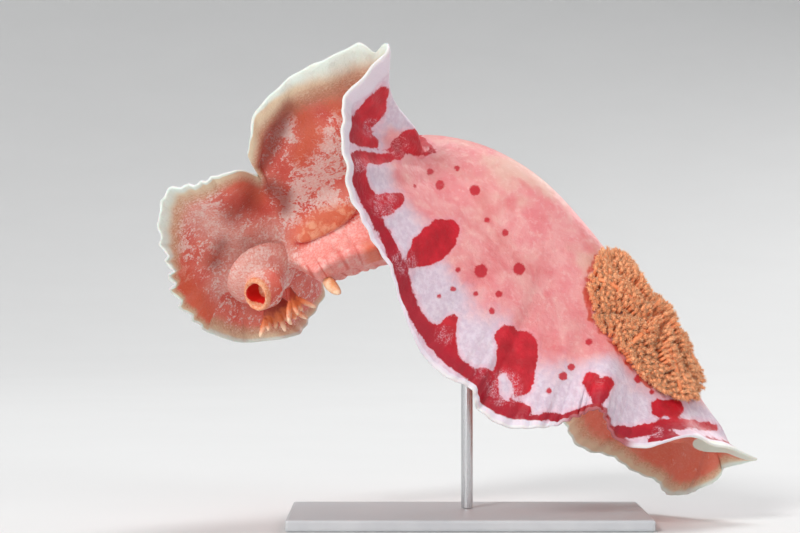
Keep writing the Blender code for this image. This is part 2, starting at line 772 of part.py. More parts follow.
# Colour, roughness and how metallic each kind of node is.
COLOURS = {
    "back": ((0.80, 0.42, 0.40), 0.38, 0.0),
    "mantle": ((0.82, 0.46, 0.46), 0.38, 0.0),
    "foot": ((0.85, 0.47, 0.40), 0.40, 0.0),
    "head": ((0.80, 0.30, 0.18), 0.35, 0.0),
    "oral": ((0.82, 0.50, 0.28), 0.40, 0.0),
    "flank": ((0.84, 0.48, 0.36), 0.38, 0.0),
    "rhinophore": ((0.78, 0.36, 0.22), 0.45, 0.0),
    "gill": ((0.78, 0.43, 0.24), 0.50, 0.0),
    "anal": ((0.78, 0.36, 0.30), 0.40, 0.0),
    "stand": ((0.75, 0.76, 0.78), 0.30, 0.0),
}


def paint():
    for obj in bpy.context.scene.objects:
        colour, roughness, metallic = COLOURS[obj.name.split("_")[0]]
        if obj.name == "stand_rod":
            colour, roughness, metallic = (0.62, 0.63, 0.65), 0.28, 1.0
        material = bpy.data.materials.new(obj.name)
        material.use_nodes = True
        surface = material.node_tree.nodes["Principled BSDF"]
        surface.inputs["Base Color"].default_value = (*colour, 1.0)
        surface.inputs["Roughness"].default_value = roughness
        surface.inputs["Metallic"].default_value = metallic
        obj.data.materials.clear()
        obj.data.materials.append(material)


def settle():
    """Puts the origin under the middle of the whole model's box."""
    points = [v.co for obj in bpy.context.scene.objects for v in obj.data.vertices]
    low = np.array(points).min(axis=0)
    high = np.array(points).max(axis=0)
    shift = Vector(((low[0] + high[0]) / 2, (low[1] + high[1]) / 2, low[2]))
    for obj in bpy.context.scene.objects:
        for vert in obj.data.vertices:
            vert.co -= shift


def main():
    clear_scene()
    make_body()
    make_head()
    make_feelers()
    make_flank_folds()
    make_foot_lobes()
    make_rhinophores()
    make_gills()
    make_base()
    make_rod()
    paint()
    settle()


main()
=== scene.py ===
"""Looks of the spanish dancer nudibranch display model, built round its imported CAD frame.

Shapes are worked out in millimetres from the same reference point as the solids: +Z up, the head
towards -X, the tail towards +X, and the animal's left side towards -Y.
"""

import math
import random

import bpy
import numpy as np
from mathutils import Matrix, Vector
from mathutils.bvhtree import BVHTree


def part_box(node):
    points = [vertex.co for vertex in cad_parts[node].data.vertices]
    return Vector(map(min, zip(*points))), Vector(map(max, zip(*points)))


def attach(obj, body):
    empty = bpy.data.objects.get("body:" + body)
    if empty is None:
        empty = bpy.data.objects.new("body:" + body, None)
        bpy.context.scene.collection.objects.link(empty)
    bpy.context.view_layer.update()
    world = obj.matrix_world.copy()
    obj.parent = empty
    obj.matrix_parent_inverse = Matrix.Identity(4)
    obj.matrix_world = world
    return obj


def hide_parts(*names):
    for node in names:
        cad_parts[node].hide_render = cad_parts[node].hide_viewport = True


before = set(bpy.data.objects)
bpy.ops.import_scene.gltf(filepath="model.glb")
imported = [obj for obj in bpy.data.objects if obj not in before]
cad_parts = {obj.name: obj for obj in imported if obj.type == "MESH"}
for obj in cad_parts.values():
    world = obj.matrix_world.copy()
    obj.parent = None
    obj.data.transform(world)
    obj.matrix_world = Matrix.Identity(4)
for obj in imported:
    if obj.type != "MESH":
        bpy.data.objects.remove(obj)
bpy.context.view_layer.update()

MM = 0.001
LEFT, RIGHT = 1, -1

# Height of the reference point, and the place of the stand's base from it, mm, as in the solids.
# In the tables below, a place along the spine and a place round the edge go from 0 at the head to 1
# at the tail, and a line goes from 0 at the spine to 1 at the mantle's edge.
LEVEL = 105.5
BASE_MIDDLE = (4.0, 0.0)

# The line along the middle of the mantle: x, y, z, roll of the back towards the left in degrees,
# height of the back above the mantle, depth of the belly below it, half width of the trunk.
SPINE = (
    (-92, 6, 1, -40, 5, 9, 15),
    (-71, 6, 13, -36, 7, 11, 19),
    (-49, 5, 26, -28, 11, 13, 25),
    (-25, 3, 37, -14, 15, 15, 32),
    (-1, 0, 37, 8, 16, 16, 36),
    (22, 0, 28, 22, 14, 17, 37),
    (43, 2, 10, 28, 12, 17, 36),
    (62, 3, -10, 28, 9, 16, 32),
    (81, 3, -31, 26, 6, 14, 27),
    (95, 3, -54, 20, 4, 11, 20),
    (106, 2, -68, 12, 3, 7, 12),
)

# The mantle's edge on each side, from the middle of the front to the tip of the tail:
# the root's place along the spine, then x, y, z.
LEFT_EDGE = (
    (0.000, -106, 2, -25),
    (0.004, -115, -14, -14),
    (0.010, -119, -28, 0),
    (0.016, -122, -38, 19),
    (0.022, -117, -45, 31),
    (0.032, -103, -46, 37),
    (0.050, -92, -42, 41),
    (0.080, -82, -28, 39),
    (0.118, -86, -40, 49),
    (0.150, -84, -50, 63),
    (0.182, -74, -55, 74),
    (0.220, -56, -58, 85),
    (0.260, -41, -60, 90),
    (0.320, -30, -66, 88),
    (0.355, -36, -70, 79),
    (0.375, -44, -74, 68),
    (0.392, -47, -76, 55),
    (0.410, -46, -76, 40),
    (0.430, -41, -74, 26),
    (0.452, -33, -70, 10),
    (0.477, -26, -64, -7),
    (0.505, -18, -60, -27),
    (0.530, -7, -56, -41),
    (0.550, 3, -54, -46),
    (0.570, 7, -52, -54),
    (0.595, 16, -50, -61),
    (0.627, 28, -48, -63),
    (0.665, 40, -46, -61),
    (0.700, 49, -47, -56),
    (0.730, 57, -45, -57),
    (0.755, 61, -41, -66),
    (0.800, 75, -37, -71),
    (0.850, 89, -31, -68),
    (0.910, 103, -22, -71),
    (0.960, 115, -11, -74),
    (1.000, 125, 0, -79),
)
RIGHT_EDGE = (
    (0.000, -106, 2, -25),
    (0.010, -90, 18, -30),
    (0.020, -71, 36, -26),
    (0.050, -58, 54, -12),
    (0.090, -54, 66, 13),
    (0.140, -58, 70, 34),
    (0.210, -48, 74, 55),
    (0.280, -35, 78, 62),
    (0.350, -16, 82, 51),
    (0.430, 5, 82, 34),
    (0.510, 26, 74, 5),
    (0.590, 40, 64, -32),
    (0.660, 42, 55, -58),
    (0.730, 52, 47, -73),
    (0.800, 70, 42, -81),
    (0.860, 83, 36, -91),
    (0.910, 94, 30, -96),
    (0.950, 105, 20, -93),
    (0.980, 112, 10, -84),
    (1.000, 125, 0, -79),
)
# The line where the mantle bends.
REACH = 0.50
# Where that bend is shifted on the left: place along the spine, spread, and the shift, mm.
SADDLE_AT = 0.350
SADDLE_SPREAD = 0.075
SADDLE_LIFT = (10, 0, 8)
# Where the left side is pulled in near its margin: place along the spine and its spread, line and
# half width across, and the pull, mm.
WEB_AT = 0.335
WEB_SPREAD = 0.050
WEB_LINE = 0.76
WEB_WIDE = 0.30
WEB_PULL = (-6.5, 0, -1)
# Where the left margin is rolled towards the underside: place round the edge, half length, the lines
# where the roll starts and is full, and its height, mm.
ROLL_AT = 0.285
ROLL_HALF = 0.085
ROLL_LINES = (0.76, 0.92)
ROLL_HEIGHT = 4.0
# Thickness of the mantle at the spine and at its edge, mm.
MANTLE_ROOT = 5.0
MANTLE_EDGE = 1.3

# Ruffles of the mantle's edge: height, waves along the edge, phase.
RUFFLES = {
    LEFT: ((1.2, 11.0, 0.3), (0.7, 27.0, 1.1)),
    RIGHT: ((3.6, 6.5, 0.6), (1.8, 15.0, 2.0)),
}

# Finer ripples that only the skin has: from and to round the edge, waves, height.
RIPPLES = {
    LEFT: (
        (0.00, 0.09, 7.5, 1.9),
        (0.09, 0.16, 6.0, 0.9),
        (0.22, 0.34, 7.0, 0.5),
        (0.42, 0.60, 12.0, 0.5),
        (0.60, 0.90, 22.0, 0.8),
    ),
    RIGHT: ((0.00, 1.00, 46.0, 0.9),),
}

# Soft hollows and, where the height is below 0, bulges that only the skin of the left front flaps
# has: place round the edge, line, half lengths along both, height.
HOLLOWS = (
    (0.285, 0.80, 0.030, 0.09, 1.6),
    (0.258, 0.80, 0.030, 0.08, 2.0),
    (0.235, 0.74, 0.020, 0.10, 1.6),
    (0.180, 0.66, 0.030, 0.20, 2.6),
    (0.225, 0.50, 0.030, 0.16, 2.0),
    (0.150, 0.84, 0.022, 0.16, -1.6),
    (0.110, 0.62, 0.030, 0.20, 1.2),
    (0.055, 0.74, 0.022, 0.18, 1.4),
    (0.020, 0.80, 0.014, 0.16, -1.4),
    (0.305, 0.50, 0.030, 0.16, -1.2),
)

# Knobs where the left flap's edge turns its corner: place round the edge, half width, length.
KNOBS = ((0.345, 0.0060, 1.2), (0.358, 0.0055, -3.2), (0.371, 0.0060, 1.0))

# The foot: its half width as a line, its depth in mm by place along the spine, and the section of one
# half from the belly beside it to the middle of its sole, as distance aside in half widths and depth
# as a share.
FOOT_WIDE = 0.105
FOOT_DEPTH = ((0.0, 12.0), (0.1, 14.0), (0.2, 15.5), (0.3, 16.0), (0.5, 12.0), (0.75, 8.0), (1.0, 4.5))
FOOT_SECTION = (
    (1.45, 0.00),
    (1.12, 0.02),
    (0.95, 0.16),
    (0.93, 0.45),
    (1.04, 0.72),
    (1.14, 0.90),
    (1.08, 1.02),
    (0.86, 1.00),
    (0.50, 0.90),
    (0.00, 0.86),
)
# Places along the spine where the foot starts, is full, fades and has ended.
FOOT_ENDS = (0.080, 0.115, 0.930, 0.985)
# Length of the spine, and of one fold of the foot's side, mm.
SPINE_LENGTH = 310.0
FOOT_FOLD_LENGTH = 7.5

# How many stations round the edge the skin has on each side, and how many lines it has across the
# top, the rim, the underside and half the foot.
STATIONS = 330
RIM_LINES = 3
TOP_LINES = 56
UNDER_LINES = 46
FOOT_LINES = 30


def smooth_curve(rows):
    """A smooth line through the rows, which stand evenly from 0 to 1."""
    keys = np.linspace(0, 1, len(rows))
    rows = np.asarray(rows, float)
    slopes = np.gradient(rows, keys, axis=0)

    def at(key):
        key = np.clip(np.asarray(key, float), keys[0], keys[-1])
        i = np.clip(np.searchsorted(keys, key, side="right") - 1, 0, len(keys) - 2)
        span = (keys[i + 1] - keys[i])[..., None]
        f = (key - keys[i])[..., None] / span
        start = (1 + 2 * f) * (1 - f) ** 2 * rows[i] + f * (1 - f) ** 2 * span * slopes[i]
        end = f * f * (3 - 2 * f) * rows[i + 1] - f * f * (1 - f) * span * slopes[i + 1]
        return start + end

    return at


def unit(vectors):
    return vectors / np.maximum(np.linalg.norm(vectors, axis=-1, keepdims=True), 1e-12)


def dot(a, b):
    return (a * b).sum(-1, keepdims=True)


def bump(x):
    return np.clip(1 - x * x, 0, 1) ** 2


def ease(low, high, x):
    """0 below low, 1 above high, and smooth between."""
    f = np.clip((x - low) / (high - low), 0, 1)
    return f * f * (3 - 2 * f)


def read(table, keys):
    """Values between the rows of a table of keys and values."""
    return np.interp(keys, *zip(*table))


spine_at = smooth_curve(SPINE)
edge_at = {LEFT: smooth_curve(LEFT_EDGE), RIGHT: smooth_curve(RIGHT_EDGE)}
foot_section = smooth_curve(FOOT_SECTION)


def turn_at(side, s):
    """The place round the edge, 0 to 1, of the ray that leaves the spine at s."""
    turns = np.linspace(0, 1, 4001)
    roots = np.maximum.accumulate(edge_at[side](turns)[..., 0])
    return np.interp(s, roots, turns)


def spine_frame(s):
    """Place, direction towards the tail, direction out of the back, and direction to the left."""
    step = 0.004
    place = spine_at(s)[..., :3]
    along = unit(spine_at(np.clip(s + step, 0, 1))[..., :3] - spine_at(np.clip(s - step, 0, 1))[..., :3])
    roll = np.radians(spine_at(s)[..., 3:4])
    left = unit(np.array([0.0, -1.0, 0.0]) - along * dot(np.array([0.0, -1.0, 0.0]), along))
    out = np.cross(left, along)
    out = out * np.sign(out[..., 2:3])
    back = out * np.cos(roll) + left * np.sin(roll)
    return place, along, back, left * np.cos(roll) - out * np.sin(roll)


def frame_at(s):
    """The spine's frame at one place."""
    return [values[0] for values in spine_frame(np.array([s]))]


def bare_sheet(side, t, v):
    """The mantle's middle surface before its ruffles: t runs round the edge, v from spine to edge."""
    row = edge_at[side](t)
    place, _, back, _ = spine_frame(row[..., 0])
    chord = row[..., 1:4] - place
    level = unit(chord - back * dot(chord, back))
    turn = place + level * REACH * np.linalg.norm(chord, axis=-1, keepdims=True)
    if side == LEFT:
        turn = turn + np.exp(-((row[..., :1] - SADDLE_AT) / SADDLE_SPREAD) ** 2) * np.array(SADDLE_LIFT)
    web = np.exp(-((row[..., 0] - WEB_AT) / WEB_SPREAD) ** 2) * bump((v - WEB_LINE) / WEB_WIDE)
    v = v[..., None]
    bent = (1 - v) ** 2 * place + 2 * v * (1 - v) * turn + v**2 * row[..., 1:4]
    return bent + web[..., None] * np.array(WEB_PULL) * (side == LEFT)


def one_side_normal(surface, side, t, v):
    step = 0.002
    before, after = np.clip(t - step, 0, 1), np.clip(t + step, 0, 1)
    low, high = np.clip(v - step, 0, 1), np.clip(v + step, 0, 1)
    round_edge = surface(side, after, v) - surface(side, before, v)
    outward = surface(side, t, high) - surface(side, t, low)
    return unit(np.cross(outward, round_edge)) * side


def normal_of(surface, side, t, v):
    """The surface's direction out of the back, the same for both sides where they meet."""
    t, v = np.broadcast_arrays(t, v)
    normal = one_side_normal(surface, side, t, v)
    for end in (0.0, 1.0):
        near = np.clip(1 - np.abs(t - end) / 0.025, 0, 1)
        close = near > 0
        if close.any():
            share, ends, lines = near[close][:, None], np.full(int(close.sum()), end), v[close]
            both = one_side_normal(surface, LEFT, ends, lines) + one_side_normal(surface, RIGHT, ends, lines)
            normal[close] = unit(normal[close] * (1 - share) + unit(both) * share)
    back = spine_frame(edge_at[side](t)[..., 0])[2]
    blend = np.clip(1 - v / 0.12, 0, 1)[..., None]
    return unit(normal * (1 - blend) + back * blend)


def roll(side, t, v):
    """How far the left front lobe's margin is rolled towards the underside."""
    low, high = ROLL_LINES
    crease = 0.35 * bump((v - low + 0.02) / 0.14)
    return ROLL_HEIGHT * (ease(low, high, v) - crease) * bump((t - ROLL_AT) / ROLL_HALF) * (side == LEFT)


def ruffle(side, t, v):
    """Height of the ruffles and ripples above the mantle, growing towards its edge."""
    ends = np.clip(np.minimum(t, 1 - t) / 0.08, 0, 1)
    height = sum(size * np.sin(2 * np.pi * waves * t + phase) for size, waves, phase in RUFFLES[side])
    height = height * ends * v**2.4 - roll(side, t, v)
    for start, end, waves, size in RIPPLES[side]:
        f = np.clip((t - start) / (end - start), 0, 1)
        inside = np.sqrt(np.sin(np.pi * f))
        height = height + size * inside * np.sin(2 * np.pi * waves * (f + 0.03 * np.sin(9 * f))) * v**7
    if side == LEFT:
        for at, line, long, across, size in HOLLOWS:
            height = height + size * np.exp(-((t - at) / long) ** 2 - ((v - line) / across) ** 2)
    return height


def sheet(side, t, v):
    """The mantle's middle surface."""
    return bare_sheet(side, t, v) + normal_of(bare_sheet, side, t, v) * ruffle(side, t, v)[..., None]


def knob(side, t, v):
    """How far the knobs stand out beyond the edge."""
    if side == RIGHT:
        return t * 0
    return sum(size * np.exp(-((t - at) / wide) ** 2) for at, wide, size in KNOBS) * v**10


def body_places(side, t, v, under):
    """Points of the back, or of the underside before the foot is added, with some measures."""
    middle = sheet(side, t, v)
    normal = normal_of(sheet, side, t, v)
    row = edge_at[side](t)
    spine = spine_at(row[..., 0])
    length = np.linalg.norm(row[..., 1:4] - spine[..., :3], axis=-1)
    far = v * length / spine[..., 6]
    out = unit(sheet(side, t, v) - sheet(side, t, np.clip(v - 0.01, 0, 1)) + 1e-9)
    stand_out = knob(side, t, v)
    middle = middle + out * stand_out[..., None]
    half = (MANTLE_EDGE + (MANTLE_ROOT - MANTLE_EDGE) * (1 - v) ** 0.8 + 0.35 * stand_out) / 2
    half = half[..., None]
    back = spine_frame(row[..., 0])[2]
    rise = spine[..., 5] if under else spine[..., 4]
    rise = (rise * bump(far))[..., None]
    if under:
        points = middle - normal * half - back * rise
    else:
        points = middle + normal * half + back * rise
    return points, normal, back, out, half[..., 0], (1 - v) * length, row[..., 0]


base_low, base_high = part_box("stand_base")
SHIFT = np.array([
    BASE_MIDDLE[0] * MM - (base_low[0] + base_high[0]) / 2,
    BASE_MIDDLE[1] * MM - (base_low[1] + base_high[1]) / 2,
    -LEVEL * MM,
])


def to_metres(points):
    """From millimetres round the reference point to metres in the frame."""
    return np.asarray(points, float) * MM - SHIFT


def placed(name, data):
    """A new object in the scene."""
    obj = bpy.data.objects.new(name, data)
    bpy.context.scene.collection.objects.link(obj)
    return obj


def smooth_mesh(name, points, faces):
    """A smooth mesh from points in metres."""
    mesh = bpy.data.meshes.new(name)
    mesh.from_pydata(points, [], [tuple(int(i) for i in f) for f in faces])
    mesh.polygons.foreach_set("use_smooth", [True] * len(mesh.polygons))
    return mesh


def add_mark(mesh, name, values):
    """Gives a mesh one number or one vector a point, for its material to read."""
    values = np.asarray(values, np.float32)
    kind, field = ("FLOAT_VECTOR", "vector") if values.ndim == 2 else ("FLOAT", "value")
    mesh.attributes.new(name, kind, "POINT").data.foreach_set(field, values.ravel())


def mesh_object(name, points, faces, marks=None):
    """A smooth mesh object from points in mm, with its marks."""
    mesh = smooth_mesh(name, to_metres(points).tolist(), faces)
    mesh.validate()
    for mark, values in (marks or {}).items():
        add_mark(mesh, mark, values)
    return placed(name, mesh)


def points_of(obj):
    """The points of an object's mesh, mm."""
    places = np.empty(len(obj.data.vertices) * 3)
    obj.data.vertices.foreach_get("co", places)
    return (places.reshape(-1, 3) + SHIFT) / MM


def grid_faces(rows, columns, start=0, closed=False):
    """Four-sided faces of a grid of points; closed joins the last column to the first."""
    i, j = np.meshgrid(np.arange(rows - 1), np.arange(columns if closed else columns - 1), indexing="ij")
    a = start + i * columns + j
    b = start + i * columns + (j + 1) % columns
    return np.stack([a, b, b + columns, a + columns], axis=-1).reshape(-1, 4)


# The photo's frame: steps across and down it, millimetres for one step at the reference point, x and
# z of its middle from that point, and the camera's distance, mm.
FRAME_STEPS = (800, 533)
VIEW_MM = 0.42
VIEW_MIDDLE = (-24.4, 1.9)
CAMERA_FAR = 1100.0

# Markings of the left side, as the photo shows them: chains of round spots that run into each other,
# each spot as its place across and down the photo's frame and its radius, in steps of that frame.
BLOTCHES = {
    "corner": ((372, 73, 3), (379, 70, 4), (386, 64, 3)),
    "upper band": ((383, 92, 6), (375, 106, 11), (366, 121, 14), (357, 134, 11), (372, 142, 7)),
    "tongue": ((399, 145, 8), (411, 142, 13), (426, 149, 7), (434, 151, 2)),
    "bridge": ((358, 158, 6), (378, 158, 7), (400, 152, 6)),
    "left band": ((357, 158, 7), (358, 176, 8), (365, 192, 7), (374, 204, 8)),
    "square": ((372, 203, 9), (386, 204, 11), (396, 200, 8)),
    "margin": ((365, 194, 6), (376, 218, 6), (390, 246, 6), (400, 270, 7), (406, 292, 7), (417, 318, 7),
               (434, 340, 9), (452, 360, 7), (470, 374, 6)),
    "oval": ((413, 261, 8), (427, 249, 17), (441, 236, 17), (450, 228, 9)),
    "flame": ((428, 331, 8), (443, 339, 13), (450, 324, 7), (454, 318, 4)),
    "flame foot": ((444, 345, 11), (456, 362, 6)),
    "great": ((507, 338, 13), (519, 350, 20), (514, 376, 21)),
    "lobe": ((482, 384, 16), (491, 399, 15), (510, 411, 12), (524, 411, 7)),
    "heart left": ((592, 381, 9), (598, 396, 7), (597, 405, 3)),
    "heart right": ((606, 383, 8), (600, 396, 7)),
    "rear oval": ((660, 408, 9), (675, 408, 9)),
    "edge band": ((524, 421, 3.5), (548, 416, 4), (563, 420, 5), (580, 414, 7), (596, 410, 6),
                  (604, 420, 5)),
    "rear band": ((608, 431, 6), (622, 433, 6), (640, 431, 6), (656, 427, 6), (670, 424, 6), (690, 424, 4.5),
                  (714, 428, 4)),
    "rear spot": ((656, 443, 8), (670, 437, 7), (660, 450, 6)),
    "tail stripe": ((680, 440, 5), (705, 441, 5), (732, 447, 4)),
}
# Pale places within the blotches.
HOLES = {
    "vein": ((352, 149, 1.0), (375, 151, 1.4), (393, 153, 1.0)),
    "wedge": ((392, 112, 6), (402, 122, 8), (396, 131, 4)),
    "patch": ((374, 128, 3), (381, 124, 4), (389, 129, 5)),
    "hole": ((503, 380, 6), (507, 390, 7), (507, 398, 4)),
}
# Spots where fine pale speckles break the crimson.
SPECKLED = (
    (384, 204, 18), (404, 262, 17), (398, 146, 16), (372, 128, 13), (504, 388, 24), (444, 335, 12),
    (360, 165, 10), (658, 432, 8), (480, 372, 10), (379, 69, 12),
)
# Crimson dots on the back.
DOTS = (
    (430, 172, 3.4), (440, 185, 4.8), (457, 168, 2.8), (415, 186, 1.6), (475, 190, 5.4), (487, 220, 2.6),
    (505, 233, 3.6), (458, 270, 2.6), (481, 271, 6.6), (519, 269, 6.2), (453, 289, 3.0), (476, 294, 2.6),
    (499, 294, 3.6), (439, 296, 2.0), (492, 311, 3.0), (589, 342, 3.6), (571, 367, 3.8), (563, 376, 4.4),
    (549, 391, 3.0), (638, 379, 4.2), (652, 392, 2.6), (627, 363, 2.0), (505, 327, 2.2),
)


# Distances farther than these from a blotch and from a dot don't matter, mm.
BLOTCH_FAR = 9.0
DOT_FAR = 5.0


def on_view(x, y, radius):
    """A spot's x, z and radius in mm from its place across and down the photo's frame."""
    wide, high = FRAME_STEPS
    across, up = VIEW_MIDDLE
    return (x - wide / 2) * VIEW_MM + across, (high / 2 - y) * VIEW_MM + up, radius * VIEW_MM


def view_places(points):
    """x and z of points as the photo's camera sees them, brought to the reference point's distance."""
    scale = CAMERA_FAR / (CAMERA_FAR + points[..., 1:2])
    return (points[..., ::2] - VIEW_MIDDLE) * scale + VIEW_MIDDLE


def chain_distance(places, chain):
    """Distance from a chain of spots, each a place and its radius, less than 0 within it."""
    best = np.full(len(places), 1e3)
    spots = [(np.array(spot[:-1]), spot[-1]) for spot in chain]
    for (start, wide), (end, next_wide) in zip(spots, spots[1:]):
        way = end - start
        share = np.clip((places - start) @ way / (way @ way), 0, 1)
        away = np.linalg.norm(places - start - share[:, None] * way, axis=-1)
        best = np.minimum(best, away - wide - share * (next_wide - wide))
    return best


def view_distance(places, chain):
    return chain_distance(places, [on_view(*spot) for spot in chain])


def seen_blotches(points):
    """Distance from the crimson blotches of the side that the photo shows, and how speckled they are."""
    places = view_places(points)
    best = np.min([view_distance(places, chain) for chain in BLOTCHES.values()], axis=0)
    for chain in HOLES.values():
        best = np.maximum(best, -view_distance(places, chain))
    speckled = np.zeros(len(points))
    for spot in SPECKLED:
        *middle, radius = on_view(*spot)
        near = np.linalg.norm(places - middle, axis=-1)
        speckled = np.maximum(speckled, 1 - ease(radius * 0.5, radius, near))
    return best, speckled


# Blotches and dots of the sides that the photo doesn't show, spread with the same sizes: how many, and
# from where to where round the edge. A blotch is a chain: share of its way, and size as a share.
HIDDEN_CHANCE = 31
HIDDEN_BLOTCHES = {LEFT: 4, RIGHT: 15}
HIDDEN_DOTS = {LEFT: 12, RIGHT: 46}
HIDDEN_ENDS = {LEFT: (0.02, 0.27), RIGHT: (0.02, 0.97)}
HIDDEN_SHAPE = ((0, 0.6), (0.45, 1.0), (1, 0.75))


def hidden_marks(side):
    """Blotches near a side's margin and dots nearer the middle: place round the edge, line, radius."""
    chance = random.Random(HIDDEN_CHANCE + side)
    chains, dots = [], []
    low, high = HIDDEN_ENDS[side]
    count = HIDDEN_BLOTCHES[side]
    for i in range(count):
        t = low + (high - low) * (i + 0.5 + chance.uniform(-0.2, 0.2)) / count
        size = chance.uniform(4.0, 8.5)
        start = chance.uniform(0.78, 0.90)
        reach = chance.uniform(0.12, 0.24)
        lean = chance.uniform(-0.015, 0.015)
        chains.append([(t + lean * share, start - reach * share, size * wide)
                       for share, wide in HIDDEN_SHAPE])
    for _ in range(HIDDEN_DOTS[side]):
        t = low + (high - low) * chance.random()
        dots.append((t, chance.uniform(0.12, 0.66), chance.uniform(0.8, 2.4)))
    return chains, dots


def on_top(side, t, v):
    """One point of the back's surface."""
    return body_places(side, np.array([t]), np.array([v]), False)[0][0]


def hidden_distance(points, side):
    """Distance from the blotches of a side that the photo doesn't show."""
    chains, _ = hidden_marks(side)
    places = [[(*on_top(side, t, v), radius) for t, v, radius in chain] for chain in chains]
    return np.min([chain_distance(points, chain) for chain in places], axis=0)


def hidden_dots(points, sides):
    """Distance of each point from the dots of its own side that the photo doesn't show."""
    best = np.full(len(points), DOT_FAR)
    for side in (LEFT, RIGHT):
        for t, v, radius in hidden_marks(side)[1]:
            near = np.linalg.norm(points - on_top(side, t, v), axis=1) - radius
            best = np.where(sides == side, np.minimum(best, near), best)
    return best


def foot_share(s):
    """How much of the foot there is along the spine, 0 to 1."""
    start, full, fade, end = FOOT_ENDS
    return ease(start, full, s) * (1 - ease(fade, end, s))


def foot_folds(s, side):
    """Creases across the foot's side: 0 in a crease and near 1 on the folds between."""
    along = s * SPINE_LENGTH + 2.2 * np.sin(s * 41 + side) + 1.1 * np.sin(s * 97)
    return np.abs(np.sin(np.pi * along / FOOT_FOLD_LENGTH)) ** 0.55


def underside(side, t):
    """The underside's grid from the edge to the spine, with the foot on it."""
    outer = FOOT_SECTION[0][0] * FOOT_WIDE
    v_outer = 1 - (1 - outer) * np.linspace(0, 1, UNDER_LINES + 1)[:-1]
    q = np.linspace(0, 1, FOOT_LINES)
    section = foot_section(q)
    s = edge_at[side](t)[..., 0]
    strength = foot_share(s)[:, None]
    folds = foot_folds(s, side)[:, None]
    plain = FOOT_SECTION[0][0] * (1 - q)
    aside = plain[None] + (section[:, 0] - plain)[None] * strength
    wall = bump((q - 0.42) / 0.40)[None]
    aside = aside + 0.13 * wall * (folds - 0.6) * strength
    rim = bump((q - 0.58) / 0.30)[None]
    depth = read(FOOT_DEPTH, s)[:, None] * section[None, :, 1] * (1 + 0.14 * rim * (folds - 0.65)) * strength
    no_foot = np.zeros((len(t), UNDER_LINES))
    tt = np.repeat(t[:, None], UNDER_LINES + FOOT_LINES, axis=1)
    vv = np.concatenate([no_foot + v_outer, aside * FOOT_WIDE], axis=1)
    deep = np.concatenate([no_foot, depth], axis=1)
    on_foot = np.concatenate([no_foot, strength * ease(0.10, 0.22, q)[None]], axis=1)
    points, normal, back, out, half, to_edge, roots = body_places(side, tt, vv, True)
    points = points - back * deep[..., None]
    creases = 1 - (1 - folds) * ease(0.15, 0.60, q)[None]
    fold_share = np.concatenate([no_foot, creases], axis=1)
    return points, normal, to_edge, roots, vv, on_foot, fold_share


# Leaf-shaped fold on each flank: place along the spine, line, half lengths, height.
FLANK_FOLD = (0.164, 0.160, 0.054, 0.054, 3.2)


def flank_leaf(side, s, v):
    """Height of the leaf-shaped fold, and how near its groove a place is."""
    at, line, long, across, height = FLANK_FOLD
    far = np.hypot((s - at) / long, (v - line) / across)
    leaf = height * np.sqrt(np.clip(1 - far**2, 0, 1)) * (1 - ease(0.9, 1.0, far))
    groove = np.exp(-((far - 1.04) / 0.09) ** 2) * ease(0.0, 0.6, (line - v) / across + 0.35)
    return leaf, groove


def skin_half(side, roots):
    """One side's points from the spine over the edge to the sole's middle, and their marks."""
    t = turn_at(side, roots)
    t[0], t[-1] = 0.0, 1.0
    tt, vv = np.meshgrid(t, np.linspace(0, 1, TOP_LINES), indexing="ij")
    top, normal, _, out, half, to_edge, s_top = body_places(side, tt, vv, False)
    under, under_normal, under_edge, s_under, v_under, on_foot, folds = underside(side, t)
    leaf, groove = flank_leaf(side, s_under, v_under)
    under = under - under_normal * (leaf * (1 - on_foot))[..., None]
    lift, reach = normal[:, -1] * half[:, -1:], out[:, -1] * half[:, -1:]
    angles = (math.pi / 4, 0.0, -math.pi / 4)
    rim = np.stack([top[:, -1] - lift + lift * math.sin(a) + reach * math.cos(a) for a in angles], axis=1)
    above, round_rim, below = np.zeros_like(vv), np.zeros((STATIONS, RIM_LINES)), np.zeros_like(v_under)
    marks = {
        "up": (above + 1, round_rim + (0.8, 0.5, 0.2), below),
        "edge": (to_edge, round_rim, under_edge),
        "line": (vv, round_rim + 1, v_under),
        "root": (s_top, round_rim + s_top[:, :1], s_under),
        "turn": (tt, round_rim + t[:, None], below + t[:, None]),
        "foot": (above, round_rim, on_foot),
        "fold": (above, round_rim, folds),
        "groove": (above, round_rim, groove * (1 - on_foot)),
        "side": (above + side, round_rim + side, below + side),
    }
    marks = {name: np.concatenate(values, axis=1).ravel() for name, values in marks.items()}
    return np.concatenate([top, rim, under], axis=1).reshape(-1, 3), marks


def make_skin():
    """One closed skin over back, mantle, belly, flank folds and foot."""
    roots = np.maximum.accumulate(edge_at[LEFT](np.linspace(0, 1, STATIONS))[..., 0])
    left_points, left_marks = skin_half(LEFT, roots)
    right_points, right_marks = skin_half(RIGHT, roots)
    points = np.concatenate([left_points, right_points])
    marks = {name: np.concatenate([left_marks[name], right_marks[name]]) for name in left_marks}
    columns = TOP_LINES + RIM_LINES + UNDER_LINES + FOOT_LINES
    size = STATIONS * columns
    faces = np.concatenate([grid_faces(STATIONS, columns), grid_faces(STATIONS, columns, size)[:, ::-1]])
    # The right side shares the left side's points along the spine, above and below, and at both ends.
    same = np.arange(2 * size)
    grid = same.reshape(2, STATIONS, columns)
    every = slice(None)
    for where in ((every, 0), (every, columns - 1), (0, every), (STATIONS - 1, every)):
        left, right = grid[0][where], grid[1][where]
        points[left] = (points[left] + points[right]) / 2
        same[right] = left
    used, faces = np.unique(same[faces], return_inverse=True)
    return points[used], faces.reshape(-1, 4), {name: values[used] for name, values in marks.items()}


# The place along the spine behind which the photo shows the left side's back.
SEEN_FROM = 0.27


